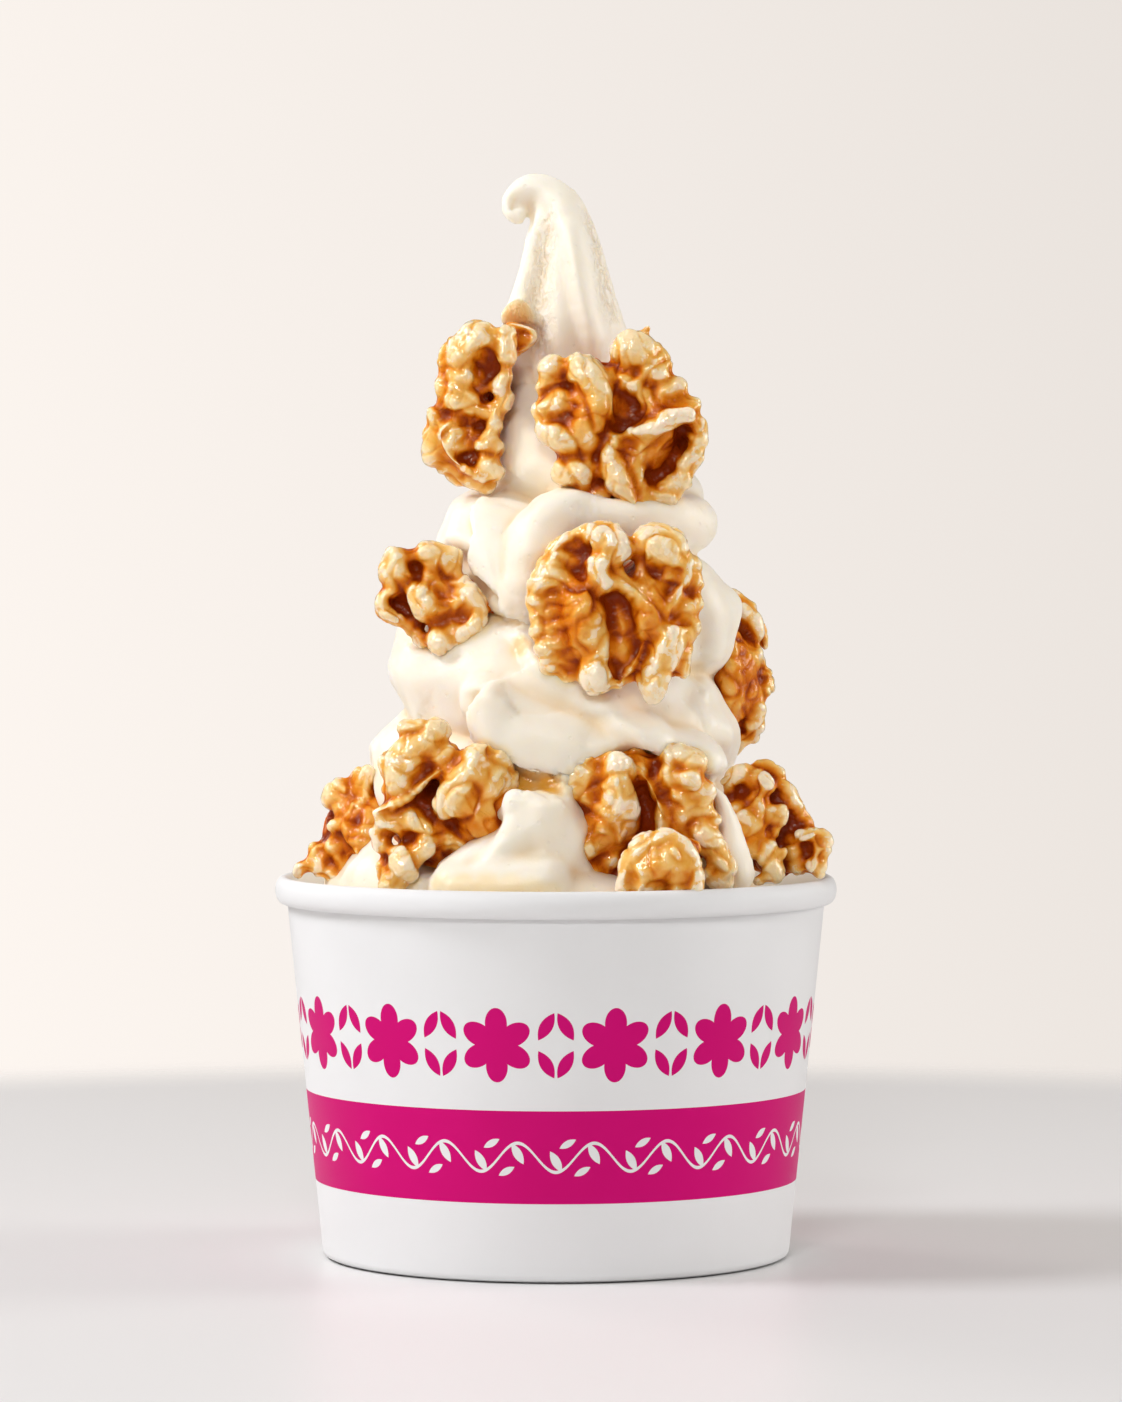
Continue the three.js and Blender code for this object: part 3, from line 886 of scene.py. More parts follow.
@dataclass
class PaperCup:
    """The tapered paper cup: a wall with a rolled rim and a folded foot, and a base disc in the fold."""

    foot_radius: float = 38.2
    top_radius: float = 44.0
    top_height: float = 57.7
    board: float = 0.5
    roll_middle: tuple[float, float] = (44.65, 59.9)
    roll_half: tuple[float, float] = (1.35, 2.2)
    roll_turn: tuple[float, float] = (196, -140)  # degrees, from the wall's top outwards and down
    fold_levels: tuple[float, ...] = (6.5, 4.5, 2.5, 1.2, 0.6)
    fold_gap: float = 0.15
    fold_lean: float = 0.1
    base_level: float = 7.0
    flange_foot: float = 1.1
    flange_radius: float = 36.9
    rounds: int = 144
    seam_width: float = 6.0  # the wall's lapped side seam, at the back
    seam_height: float = 0.28

    def wall_radius(self, height: float | np.ndarray) -> float | np.ndarray:
        """The wall's outer radius at a height."""
        return self.foot_radius + (self.top_radius - self.foot_radius) * height / self.top_height

    def spun(self, name: str, line: list[tuple[float, float]], full: bool) -> Mesh:
        """Spins a board of even thickness about the cup's axis.

        Args:
            name: the mesh's name.
            line: the board's middle as (radius, height) in mm.
            full: whether the board closes on the axis.

        Returns:
            The mesh, in mm.
        """
        shape = bmesh.new()
        middle = [Vector((radius, 0, height)) for radius, height in line]
        sides: list[list[Vector]] = [[], []]
        for count, point in enumerate(middle):
            run = middle[min(count + 1, len(middle) - 1)] - middle[max(count - 1, 0)]
            off = Vector((-run.z, 0, run.x)).normalized() * self.board / 2
            sides[0].append(point + off)
            sides[1].append(point - off)
        if full:
            sides[0][0].x = sides[1][0].x = 0
        outline = [shape.verts.new(point) for point in sides[0] + sides[1][::-1]]
        pairs = list(zip(outline, outline[1:] + outline[:1]))
        if full:
            pairs = [pair for pair in pairs if pair[0].co.x or pair[1].co.x]
        edges = [shape.edges.new(pair) for pair in pairs]
        turn = {"cent": (0, 0, 0), "axis": (0, 0, 1), "angle": math.tau, "steps": self.rounds}
        bmesh.ops.spin(shape, geom=outline + edges, use_merge=True, **turn)
        bmesh.ops.remove_doubles(shape, verts=shape.verts, dist=1e-3)
        bmesh.ops.recalc_face_normals(shape, faces=shape.faces)
        mesh = bpy.data.meshes.new(name)
        shape.to_mesh(mesh)
        shape.free()
        return mesh

    def wall(self) -> Mesh:
        """Builds the wall.

        Returns:
            The mesh, in metres.
        """
        half = self.board / 2
        inside = self.wall_radius(0) - 3 * half - self.fold_gap
        line = [(inside + self.fold_lean * z, z) for z in self.fold_levels]
        line += [(self.foot_radius - 2 * half - 0.1, half + 0.02), (self.foot_radius - half, 0.5)]
        line += [(self.wall_radius(z) - half, z) for z in np.linspace(1.2, self.top_height, 24)]
        across, up = self.roll_half[0] - half, self.roll_half[1] - half
        for angle in np.linspace(*np.radians(self.roll_turn), 30):
            out, level = across * math.cos(angle), up * math.sin(angle)
            line.append((self.roll_middle[0] + out, self.roll_middle[1] + level))
        skin = Skin(self.spun("cup_wall_board", line, full=False))
        x, y, z = skin.places.T
        radius = np.hypot(x, y)
        along_seam = np.abs(np.arctan2(x, y)) * radius  # from the back, +Y
        outer = (radius > self.wall_radius(z) - half) & (z > 0.8) & (z < self.top_height - 0.5)
        lift = np.where(outer & (along_seam < self.seam_width / 2), self.seam_height, 0.0)
        skin.places[:, 0] += lift * x / radius
        skin.places[:, 1] += lift * y / radius
        return skin.finish()

    def base(self) -> Mesh:
        """Builds the base disc with its flange.

        Returns:
            The mesh, in metres.
        """
        level, edge = self.base_level + self.board / 2, self.flange_radius
        line = [(radius, level) for radius in (0.0, 12.0, 24.0, 33.0, edge - 1.1)]
        line += [(edge - 0.35, level - 0.25), (edge, level - 1.0)]
        line += [(edge - 0.25, 4.0), (edge - 0.55, self.flange_foot)]
        return Skin(self.spun("cup_base_board", line, full=True)).finish()

    def build(self) -> None:
        """Builds both pieces and dresses them."""
        show(self.wall(), "paper_cup_wall", PrintedBoard().make(), "printed_board", "cup_wall")
        show(self.base(), "paper_cup_base", PlainBoard().make(), "board", "cup_base")


# ---- The walnuts ------------------------------------------------------------------------------------


class Seen(Enum):
    """Which way a walnut's drawn folds stand up."""

    FRONT = "from the cup's front"
    FACE = "from its own open side"


@dataclass
class Walnut:
    """A glazed walnut half: two lobes of folds, each round a hollow, and a web along the groove.

    x runs across the lobes, y along the groove and z out of the open side, in mm from its middle.
    """

    number: int
    at: Point
    facing: float  # compass direction that the open side looks in: 0 = +X, 90 = +Y
    tilt: float
    roll: float
    width: float
    length: float
    depth: float
    folds: tuple[Fold, ...]
    seen: Seen = Seen.FRONT
    voxel: float = 0.3
    syrup: float = 0.35  # how far the syrup reaches across a gap from each side
    back: float = 0.8  # how full the shell-side back is
    lobes: tuple[float, float] = (1.0, 1.0)  # how full the web of each lobe is
    web: float = 0.2  # height of the web between the folds
    bed: float = -2.2  # how far the yogurt stays behind its middle
    bed_reach: float = 0.47  # its half size, of the walnut's size

    def pose(self) -> Matrix:
        """Where it sits on the coil.

        Returns:
            The place and turn, in mm.
        """
        turns = ((self.facing + 90, "Z"), (90 - self.tilt, "X"), (self.roll, "Z"))
        place = Matrix.Translation(self.at)
        for angle, axis in turns:
            place = place @ Matrix.Rotation(math.radians(angle), 4, axis)
        return place

    def placed(self, fold: Fold) -> np.ndarray:
        """Turns a fold's line into the walnut's own frame.

        Args:
            fold: the fold, seen from the front, or mirrored from the open side.

        Returns:
            Rows of x, y, z and radius.
        """
        right, up, radius = np.array(fold.line).T
        lift = np.full(len(up), fold.lift)
        if self.seen is Seen.FACE:
            return np.stack([-right, up, lift, radius], 1)
        seen = np.stack([right, -lift, up], 1)
        return np.hstack([seen @ np.array(self.pose())[:3, :3], radius[:, None]])

    def webs(self, dough: Dough) -> None:
        """Adds the flesh under the folds: the webs, each lobe's back and the bridge between them."""
        for side, full in zip((-1, 1), self.lobes):
            if not full:
                continue
            half = self.width * 0.245 * full
            back = (half * self.back, self.length * 0.4 * self.back, self.depth / 2 + self.web + 1.2)
            deep = (self.width * 0.22 * full, self.length * 0.32, 2.8)
            dough.ball((side * 0.9 * half, 0, self.web - 1.6), (half, self.length * 0.33, 3.4))
            dough.ball((side * 0.8 * half, 0, self.web - 2.4), back)
            dough.ball((side * self.width * 0.18 * full, 0, self.web - 2.5), deep)
        if min(self.lobes):
            bridge = (self.width * 0.18 * min(self.lobes), self.length * 0.28, 2.4)
            dough.ball((0, 0, self.web - 1.0), bridge)

    def glazed(self, skin: Skin) -> Skin:
        """Bridges narrow gaps with thick syrup.

        Args:
            skin: the dry kernel.

        Returns:
            The kernel with its glaze.
        """
        skin.push(self.syrup)
        skin.outward()
        skin = Skin(remeshed(skin.mesh, self.voxel))
        skin.ease(1)
        skin.push(-self.syrup)
        skin.ease(1)
        return skin

    def kernel(self) -> Skin:
        """Builds the kernel.

        Returns:
            Its skin, in its own frame, with its values noted.
        """
        towards = Vector((0, 0, 1))
        if self.seen is Seen.FRONT:
            towards = (self.pose().to_3x3().inverted() @ Vector((0, -1, 0))).normalized()
        dough = Dough(plump=1.22, skin=0.3)
        self.webs(dough)
        lines = [self.placed(fold) for fold in self.folds]
        for fold, points in zip(self.folds, lines):
            dough.rope(points, max(fold.rise, 1.25), towards)
        skin = self.glazed(Skin(dough.joined(f"walnut_{self.number:02d}", self.voxel)))
        seed = self.number * 3.7
        creased = np.maximum(skin.creases(6.4, seed + 5), 0.55 * skin.creases(3.1, seed + 17))
        wrinkle = 0.5 * skin.waves(4.6, seed) + 0.16 * skin.waves(2.0, seed + 9)
        wrinkle = wrinkle + 0.07 * skin.waves(0.9, seed + 21)
        wrinkle -= 0.5 * creased
        skin.push(wrinkle[:, None])
        pooled = np.maximum(0, -skin.hollows(80) - 0.5) * 0.5  # syrup half fills the deepest hollows
        skin.push(pooled[:, None])
        skin.ease(1)
        self.tinge(skin, lines, creased, skin.places @ np.array(towards))
        return skin

    def tinge(self, skin: Skin, lines: list[np.ndarray], creased: np.ndarray, height: np.ndarray) -> None:
        """Notes how pale each point is, by its syrup and by painted shade, and where dry sugar sits.

        Args:
            skin: the kernel's points.
            lines: its folds' lines.
            creased: how deep in a crease each point is.
            height: how far towards the eye each point is.
        """
        near = skin.eased(skin.hollows(70)[:, None], 2)[:, 0]
        broad = skin.hollows(300)
        gap, crust = np.full(len(skin.places), np.inf), np.zeros(len(skin.places))
        for fold, points in zip(self.folds, lines):
            for x, y, z, radius in smooth_line(points, 4):
                off = np.linalg.norm(skin.places - (x, y, z), axis=1) / radius
                gap = np.minimum(gap, off)
                crust = np.maximum(crust, fold.crust * (1 - ramped(off, 1.35, 2.3)))
        # paler where it stands out and darker in hollows: thin and pooled syrup, and painted shade
        tone = 0.6 + 0.3 * np.clip(near / 0.5, -1, 1) + 0.32 * np.clip(broad / 1.2, -1, 1)
        # darker in the webs between the folds: pooled syrup, and painted shade
        tone = tone - 0.42 * ramped(gap, 1.2, 2.3)  # amber away from the folds
        # painted shade: darker the deeper a point lies in the kernel, and along creases
        tone = tone + 0.14 * (ramped(height, -0.5, 4.0) - 0.5) - 0.12 * creased
        skin.note("tone", np.clip(tone, 0, 1))
        skin.note("crust", crust * ramped(near, -0.1, 0.3))

    def press_into(self, skin: Skin) -> None:
        """Presses the kernel's bed into the yogurt, with a low lip round it.

        Args:
            skin: the yogurt's points.
        """
        pose = np.array(self.pose())
        local = (skin.places - pose[:3, 3]) @ pose[:3, :3]
        x, y, z = local.T
        ring = np.hypot(x / (self.width * self.bed_reach), y / (self.length * self.bed_reach))
        bed = (1 - ramped(ring, 0.82, 1.04)) * (z > self.bed) * (1 - ramped(z, 3.0, 6.5))
        lip = bump(ring - 1.14, 0.1) * bump(z, 3.5) * 0.5
        local[:, 2] += bed * (self.bed - z) + lip
        skin.places = local @ pose[:3, :3].T + pose[:3, 3]

    def build(self, finish: Material) -> np.ndarray:
        """Builds the walnut and dresses it.

        Args:
            finish: the glazed kernel.

        Returns:
            Some of its points on the coil, in mm.
        """
        name = f"walnut_{self.number:02d}"
        mesh = self.kernel().finish(self.pose())
        show(mesh, f"glazed_{name}", finish, "glazed_walnut", name)
        return np.array([vert.co / MM for vert in list(mesh.vertices)[::9]])


# ---- The yogurt -------------------------------------------------------------------------------------


@dataclass(frozen=True)
class Crease:
    """A valley between two ridges of the peak, in degrees from the front, towards the right."""

    low: float
    high: float
    width: float
    depth: float


@dataclass(frozen=True)
class Drawing:
    """The coil's own forms, drawn in the camera's frame: lines go across and down, in its pixels."""

    ropes: tuple  # of cream: a line with, in mm, each point's radius and how far before the axis it lies
    strokes: tuple  # a line, then a stroke's push, width and steep side in mm
    stains: tuple  # of syrup: across, down, reach in mm, strength, and how far in front of the axis
    far_side: float = -15.0  # the depth of a stroke that starts off the coil
    edge: float = -10.0  # and of a stain

    def depth(self, coil: BVHTree, across: float, down: float) -> float | None:
        """How deep a pixel sees the coil's solid, in mm."""
        eye, ray = Vector(VIEW.eye) * MM, Vector(VIEW.ray(across, down))
        hit = coil.ray_cast(eye, ray)[0]
        return None if hit is None else hit.y / MM

    def placed_ropes(self) -> list[np.ndarray]:
        """Works the ropes out.

        Returns:
            For each, rows of x, y, z and radius.
        """
        ropes = []
        for line in self.ropes:
            seen = [(VIEW.at(across, down, -lift), radius, lift) for across, down, radius, lift in line]
            rope = [(round(x, 1), -lift, round(z, 1), radius) for (x, _, z), radius, lift in seen]
            ropes.append(np.array(rope))
        return ropes

    def placed_strokes(self, coil: BVHTree) -> list[Stroke]:
        """Works the strokes out.

        Args:
            coil: the coil's solid, on which they lie.

        Returns:
            The strokes.
        """
        strokes = []
        for line, *sizes in self.strokes:
            depth, points = self.far_side, []
            for across, down in line:
                seen = self.depth(coil, across, down)
                depth = depth if seen is None else seen
                x, _, z = VIEW.at(across, down, depth)
                points.append((round(x, 1), round(z, 1)))
            strokes.append(Stroke(tuple(points), *sizes))
        return strokes

    def placed_stains(self, coil: BVHTree) -> list[tuple[Point, float, float]]:
        """Works the stains out.

        Args:
            coil: the coil's solid, on which they lie.

        Returns:
            For each its middle, reach and strength.
        """
        stains = []
        for across, down, reach, strength, *lift in self.stains:
            seen = -lift[0] if lift else self.depth(coil, across, down)
            middle = VIEW.at(across, down, self.edge if seen is None else seen)
            stains.append((tuple(round(value, 1) for value in middle), reach, strength))
        return stains


@dataclass
class Yogurt:
    """Soft-served yogurt: a strand coiled clockwise up from the filled cup to a ridged, curled peak."""

    cup: PaperCup
    drawing: Drawing
    voxel: float = 0.62
    first_turn: float = -1.1
    last_turn: float = 3.55
    foot: float = 67.5  # height of the strand's middle at turn 0
    pitch: float = 18.6
    lean: float = 1.8
    steps_per_turn: int = 36
    spokes: int = 48
    ridges: int = 8
    ridge_depth: float = 0.03
    ridge_drift: float = 0.35
    # by turn: how far out the coil reaches, how far it stands to the right, and the strand's radius
    reach: tuple = (
        ((-1.1, 41), (-0.7, 40.4), (-0.3, 36), (0, 33.2), (1, 29.6))
        + ((2, 28), (2.6, 22.5), (3, 20.6), (3.55, 14))
    )
    shift: tuple = ((-1.1, 0), (1, 0.4), (2, 2.4), (2.75, 4.6), (3.55, 3.4))
    strand: tuple = ((-1.1, 12.4), (1, 12), (2, 11.6), (3, 10.4), (3.55, 9.6))
    core: tuple = ((22, 63), (20, 80), (16, 100), (12, 120), (8.6, 140))  # radius and height
    peak: tuple = (
        (3.2, 4.0, 132.0, 12.6),
        (2.6, 3.8, 139.0, 12.4),
        (1.8, 3.2, 146.5, 12.0),
        (1.3, 1.0, 153.0, 10.7),
        (1.4, 0.0, 160.0, 8.3),
        (1.0, 0.0, 167.0, 6.2),
        (0.0, 0.0, 171.6, 4.6),
        (-2.4, -0.2, 174.2, 3.2),
        (-5.2, -0.6, 174.3, 2.4),
        (-7.4, -1.0, 172.4, 1.8),
        (-7.0, -1.6, 170.3, 1.7),
        (-5.0, -1.6, 169.9, 1.5),
    )
    curl_fill: tuple[Point, Point] = ((-6.3, 0.6, 171.6), (2.2, 1.6, 2.2))  # closes the hollow of the curl
    creases: tuple[Crease, ...] = (
        Crease(-35, -32, 13, 0.24),
        Crease(58, 50, 16, 0.07),
        Crease(96, 92, 14, 0.16),
        Crease(132, 130, 12, 0.22),
        Crease(178, 178, 15, 0.2),
        Crease(-134, -130, 12, 0.2),
        Crease(-86, -76, 14, 0.18),
    )
    crease_turn: tuple[float, float] = (146, 168)  # a crease wanders to its tip between these heights
    fill_level: float = 59.4
    fill_top: float = 64.5
    cut_level: float = 52.0
    low_ring: float = 30.0  # the height of the one ring of points between the cut and the base
    wall_gap: float = 0.15
    fold_clearance: float = 1.2  # more, at the cup's folded foot
    swell: float = 0.22  # broad soft unevenness

    def coil(self, dough: Dough) -> None:
        """Adds the strand that is coiled up from the cup."""
        rings = []
        spokes = np.arange(self.spokes) / self.spokes
        for turn in np.arange(self.first_turn, self.last_turn, 1 / self.steps_per_turn):
            rows = (self.strand, self.reach, self.shift)
            radius, out, aside = (float(np.interp(turn, *zip(*row))) for row in rows)
            angle = -math.tau * turn
            across = Vector((math.cos(angle), math.sin(angle), 0))
            height = self.foot + self.pitch * turn - self.lean * math.cos(angle)
            ridged = np.cos(math.tau * self.ridges * (spokes + self.ridge_drift * turn))
            middle = across * (out - radius) + Vector((aside, 0, height))
            rings.append((middle, across, Vector((0, 0, 1)), radius * (1 + self.ridge_depth * ridged)))
        dough.strand(rings)

    def cone(self, dough: Dough) -> None:
        """Adds the ridged peak with its curl."""
        path = smooth_line(np.array(self.peak), 7)
        rings = []
        # degrees from the front, towards the right
        face = np.degrees(math.tau * np.arange(self.spokes) / self.spokes) + 90
        low, high = self.crease_turn
        for count, (x, y, z, radius) in enumerate(path):
            ahead, behind = path[min(count + 1, len(path) - 1)], path[max(count - 1, 0)]
            run = Vector(ahead[:3] - behind[:3]).normalized()
            across = Vector((0, 1, 0)).cross(run).normalized()
            back = run.cross(across).normalized()
            share = min(max((z - low) / (high - low), 0), 1)
            radii = np.full(self.spokes, radius)
            for crease in self.creases:
                off = (face - (crease.low + (crease.high - crease.low) * share) + 180) % 360 - 180
                radii = radii - radius * crease.depth * bump(off, crease.width)
            rings.append((Vector((x, y, z)), across, back, radii))
        dough.strand(rings)

    def wide(self, height: float | np.ndarray) -> float | np.ndarray:
        """How wide the yogurt may be in the cup at a height, as a radius."""
        return self.cup.wall_radius(height) - self.cup.board - self.wall_gap

    def middle_and_fill(self, dough: Dough) -> None:
        """Adds the yogurt inside the coil and in the cup."""
        for low, (radius, top) in zip(self.core[:-1], self.core[1:]):
            dough.frustum((low[0], low[1] - 0.5), (radius, top + 0.5), sides=48)
        foot, rim = self.cut_level - 3, self.wide(self.fill_level)
        dough.frustum((self.wide(foot), foot), (rim, self.fill_level), sides=120)
        dough.ball((0, 0, self.fill_level - 4), (rim - 2.5, rim - 2.5, self.fill_top - self.fill_level + 4))

    def closed_below(self, mesh: Mesh) -> None:
        """Cuts the skin off inside the cup and carries it down to the base in a few large faces.

        Args:
            mesh: the yogurt's mesh, in mm.
        """
        shape = bmesh.new()
        shape.from_mesh(mesh)
        whole = shape.verts[:] + shape.edges[:] + shape.faces[:]
        plane = {"plane_co": (0, 0, self.cut_level), "plane_no": (0, 0, 1)}
        cut = bmesh.ops.bisect_plane(shape, geom=whole, clear_inner=True, **plane)
        rim = [item for item in cut["geom_cut"] if isinstance(item, bmesh.types.BMEdge)]
        base = self.cup.base_level + self.cup.board + 0.4
        low = (self.low_ring, self.wide(self.low_ring))
        for level, radius in (low, (base, self.wide(base) - self.fold_clearance)):
            grown = bmesh.ops.extrude_edge_only(shape, edges=rim)["geom"]
            rim = [item for item in grown if isinstance(item, bmesh.types.BMEdge)]
            for vert in {vert for edge in rim for vert in edge.verts}:
                out = Vector((vert.co.x, vert.co.y, 0)).normalized() * radius
                vert.co = Vector((out.x, out.y, level))
        bmesh.ops.contextual_create(shape, geom=rim)
        bmesh.ops.recalc_face_normals(shape, faces=shape.faces)
        shape.to_mesh(mesh)
        shape.free()

    def build(self, walnuts: list[Walnut], kernels: np.ndarray) -> None:
        """Builds the yogurt and dresses it.

        Args:
            walnuts: the walnuts that are pressed into it.
            kernels: points of them in mm, round which syrup has run.
        """
        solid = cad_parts["yogurt"].data
        faces = [tuple(face.vertices) for face in solid.polygons]
        coil = BVHTree.FromPolygons([vert.co for vert in solid.vertices], faces)
        dough = Dough()
        self.middle_and_fill(dough)
        self.coil(dough)
        self.cone(dough)
        dough.ball(*self.curl_fill)
        for rope in self.drawing.placed_ropes():
            dough.rope(rope, 1.0, Vector((0, -1, 0)))
        skin = Skin(dough.joined("soft_yogurt", self.voxel))
        skin.ease(3)
        for walnut in walnuts:
            walnut.press_into(skin)
        skin.ease(2)
        for stroke in self.drawing.placed_strokes(coil):
            skin.outward()
            skin.press(stroke)
        uneven = self.swell * skin.waves(9.0, 3.1) + 0.07 * skin.waves(2.6, 7.7)
        pits = self.torn(skin) * (0.3 * skin.waves(1.7, 5.3) + 0.2 * skin.waves(3.0, 9.1) - 0.16)
        skin.push((uneven + pits)[:, None])
        x, y, z = skin.places.T
        reach, limit = np.hypot(x, y), self.wide(z)
        pull = np.where((z < self.fill_level) & (reach > limit), limit / np.maximum(reach, 1e-6), 1.0)
        skin.places[:, :2] *= pull[:, None]
        skin.outward()
        self.closed_below(skin.mesh)
        skin = Skin(skin.mesh)
        self.mark(skin, kernels, coil)
        show(skin.finish(), "soft_yogurt", SoftYogurt().make(), "yogurt", "yogurt")

    def mark(self, skin: Skin, kernels: np.ndarray, coil: BVHTree) -> None:
        """Notes where syrup has run, how hollow the skin is, for painted shade there, and where the nozzle
        tore it.

        Args:
            skin: the yogurt's points.
            kernels: points of the walnuts.
            coil: the coil's solid.
        """
        tree = kdtree.KDTree(len(kernels))
        for count, point in enumerate(kernels):
            tree.insert(point, count)
        tree.balance()
        away = np.array([tree.find(point)[2] for point in skin.places])
        patch = 0.5 + 0.5 * skin.waves(6.0, 12.4)
        syrup = (1 - ramped(away, 0.2, 0.7 + 1.6 * patch)) * (0.25 + 0.4 * patch)
        for middle, reach, strength in self.drawing.placed_stains(coil):
            off = np.linalg.norm(skin.places - middle, axis=1)
            syrup = np.maximum(syrup, strength * (1 - ramped(off, 0.35 * reach, reach)))
        skin.note("syrup", np.clip(syrup, 0, 1))
        # painted shade: how far each point lies in a hollow, less on the peak
        peak = ramped(skin.places[:, 2], 140, 150)
        skin.note("deep", ramped(-skin.hollows(60), -0.25, 0.9) * (1 - 0.6 * peak))
        skin.note("torn", self.torn(skin))

    def torn(self, skin: Skin) -> np.ndarray:
        """Where the peak's skin was torn, in the valleys at the front: 1 there, 0 elsewhere."""
        x, y, z = skin.places.T
        face = np.degrees(np.arctan2(x - 2.0, -(y - 1.0)))
        share = ramped(z, 150, 171)
        left = bump(face + 31, 14)
        right = bump(face - 40 - 10 * (1 - share), 14) * ramped(z, 150, 156)
        return np.maximum(left, right) * ramped(z, 145, 150) * (1 - ramped(z, 168, 173))


# ---- The studio -------------------------------------------------------------------------------------


@dataclass(frozen=True)
class Softbox:
    """A soft light that points at the coil: its place and size in metres, watts and colour."""

    name: str
    at: Point
    size: tuple[float, float]
    power: float
    colour: str
    glints_only: bool = False  # a small bright window that shows in gloss alone

    def place(self) -> None:
        """Puts the light in the scene."""
        light = bpy.data.lights.new(self.name, "AREA")
        light.shape, light.size, light.size_y, light.energy = "RECTANGLE", *self.size, self.power
        light.color = linear(self.colour)[:3]
        lamp = bpy.data.objects.new(self.name, light)
        lamp.location = self.at
        lamp.visible_diffuse = not self.glints_only
        lamp.rotation_mode = "QUATERNION"
        lamp.rotation_quaternion = (Vector((0, 0, 0.1)) - Vector(self.at)).to_track_quat("-Z", "Y")
        bpy.context.scene.collection.objects.link(lamp)


@dataclass
class Studio:
    """A pale floor under soft light from the left, and the camera."""

    sensor: float = 36.0  # the camera's, in mm
    floor_radius: float = 0.36
    stone: str = "#e3e2e2"
    air: str = "#f6efe9"
    bright_way: Point = (-0.5, 0.82, -0.6)  # the air's light comes from here
    boxes: tuple[Softbox, ...] = (
        Softbox("window_left", (-0.7, -0.12, 0.76), (0.26, 0.32), 5.4, "#fafbff"),
        Softbox("back_left", (-0.5, 0.5, 0.42), (0.2, 0.25), 1.0, "#fffcf6"),
        Softbox("side_right", (0.78, 0.12, 0.3), (0.3, 0.4), 3.1, "#fcfaf8"),
        Softbox("front_high", (-0.1, -0.85, 0.6), (0.2, 0.2), 2.7, "#fdfeff"),
        Softbox("glints", (-0.5, -0.62, 0.45), (0.18, 0.22), 4.4, "#fff4e2", glints_only=True),
        Softbox("sparks", (0.12, -0.7, 0.6), (0.05, 0.05), 1.2, "#fff8ee", glints_only=True),
    )

    def floor(self) -> None:
        """Lays the floor, a polished pale slab that fades into the air at its edge."""
        shape = bmesh.new()
        under = Matrix.Translation((0, 0, -0.0002))
        bmesh.ops.create_circle(shape, cap_ends=True, segments=160, radius=self.floor_radius, matrix=under)
        mesh = bpy.data.meshes.new("floor")
        shape.to_mesh(mesh)
        shape.free()
        # Polished pale stone: even, with a faint soft reflection.
        material, tree, shader = new_material("polished_pale_stone")
        feed(tree, shader, {"Base Color": linear(self.stone), "Roughness": 0.4, "Specular IOR Level": 0.3})
        node = partial(add, tree)
        away = node("VectorMath.LENGTH", node("TexCoord").outputs["Object"]).outputs["Value"]
        edge = {0: away, 1: self.floor_radius * 0.8, 2: self.floor_radius}
        fade = node("MapRange", edge, interpolation_type="SMOOTHSTEP")
        mixed = node("MixShader", fade, shader, node("BsdfTransparent"))
        feed(tree, tree.nodes["Material Output"], {"Surface": mixed})
        mesh.materials.append(material)
        slab = bpy.data.objects.new("floor", mesh)
        bpy.context.scene.collection.objects.link(slab)

    def surroundings(self) -> None:
        """Fills the air with soft light, brighter from the left and above. Gloss sees a dim room."""
        world = bpy.data.worlds.new("studio")
        world.use_nodes = True
        bpy.context.scene.world = world
        tree = world.node_tree
        node = partial(add, tree)
        way = node("TexCoord").outputs["Generated"]
        lean = node("VectorMath.DOT_PRODUCT", way, self.bright_way).outputs["Value"]
        level = node("MapRange", lean, -1.0, 1.0, 0.5, 1.08)
        wane = node("MapRange", node("SeparateXYZ", way), -0.13, 0.13, 1.03, 0.88)
        rays = node("LightPath").outputs
        dark = node("MapRange", rays["Is Glossy Ray"], 0, 1, 1.0, 0.2)
        soft = node("MapRange", rays["Is Diffuse Ray"], 0, 1, 1.0, 0.88)
        strength = node("Math.MULTIPLY", level, wane)
        for dimmer in (dark, soft):
            strength = node("Math.MULTIPLY", strength, dimmer)
        feed(tree, tree.nodes["Background"], {"Color": linear(self.air), "Strength": strength})

    def camera(self) -> None:
        """Sets the camera up."""
        data = bpy.data.cameras.new("camera")
        tall = max(VIEW.size)
        data.sensor_width, data.lens = self.sensor, self.sensor * VIEW.focus / tall
        data.shift_x = (VIEW.size[0] / 2 - VIEW.ahead[0]) / tall
        camera = bpy.data.objects.new("camera", data)
        camera.location = Vector(VIEW.eye) * MM
        camera.rotation_euler = (math.pi / 2 - VIEW.pitch, 0, 0)
        bpy.context.scene.collection.objects.link(camera)
        bpy.context.scene.camera = camera

    def build(self) -> None:
        """Builds the floor, light and camera."""
        self.floor()
        self.surroundings()
        for box in self.boxes:
            box.place()
        self.camera()
        bpy.context.scene.view_settings.view_transform = "Standard"
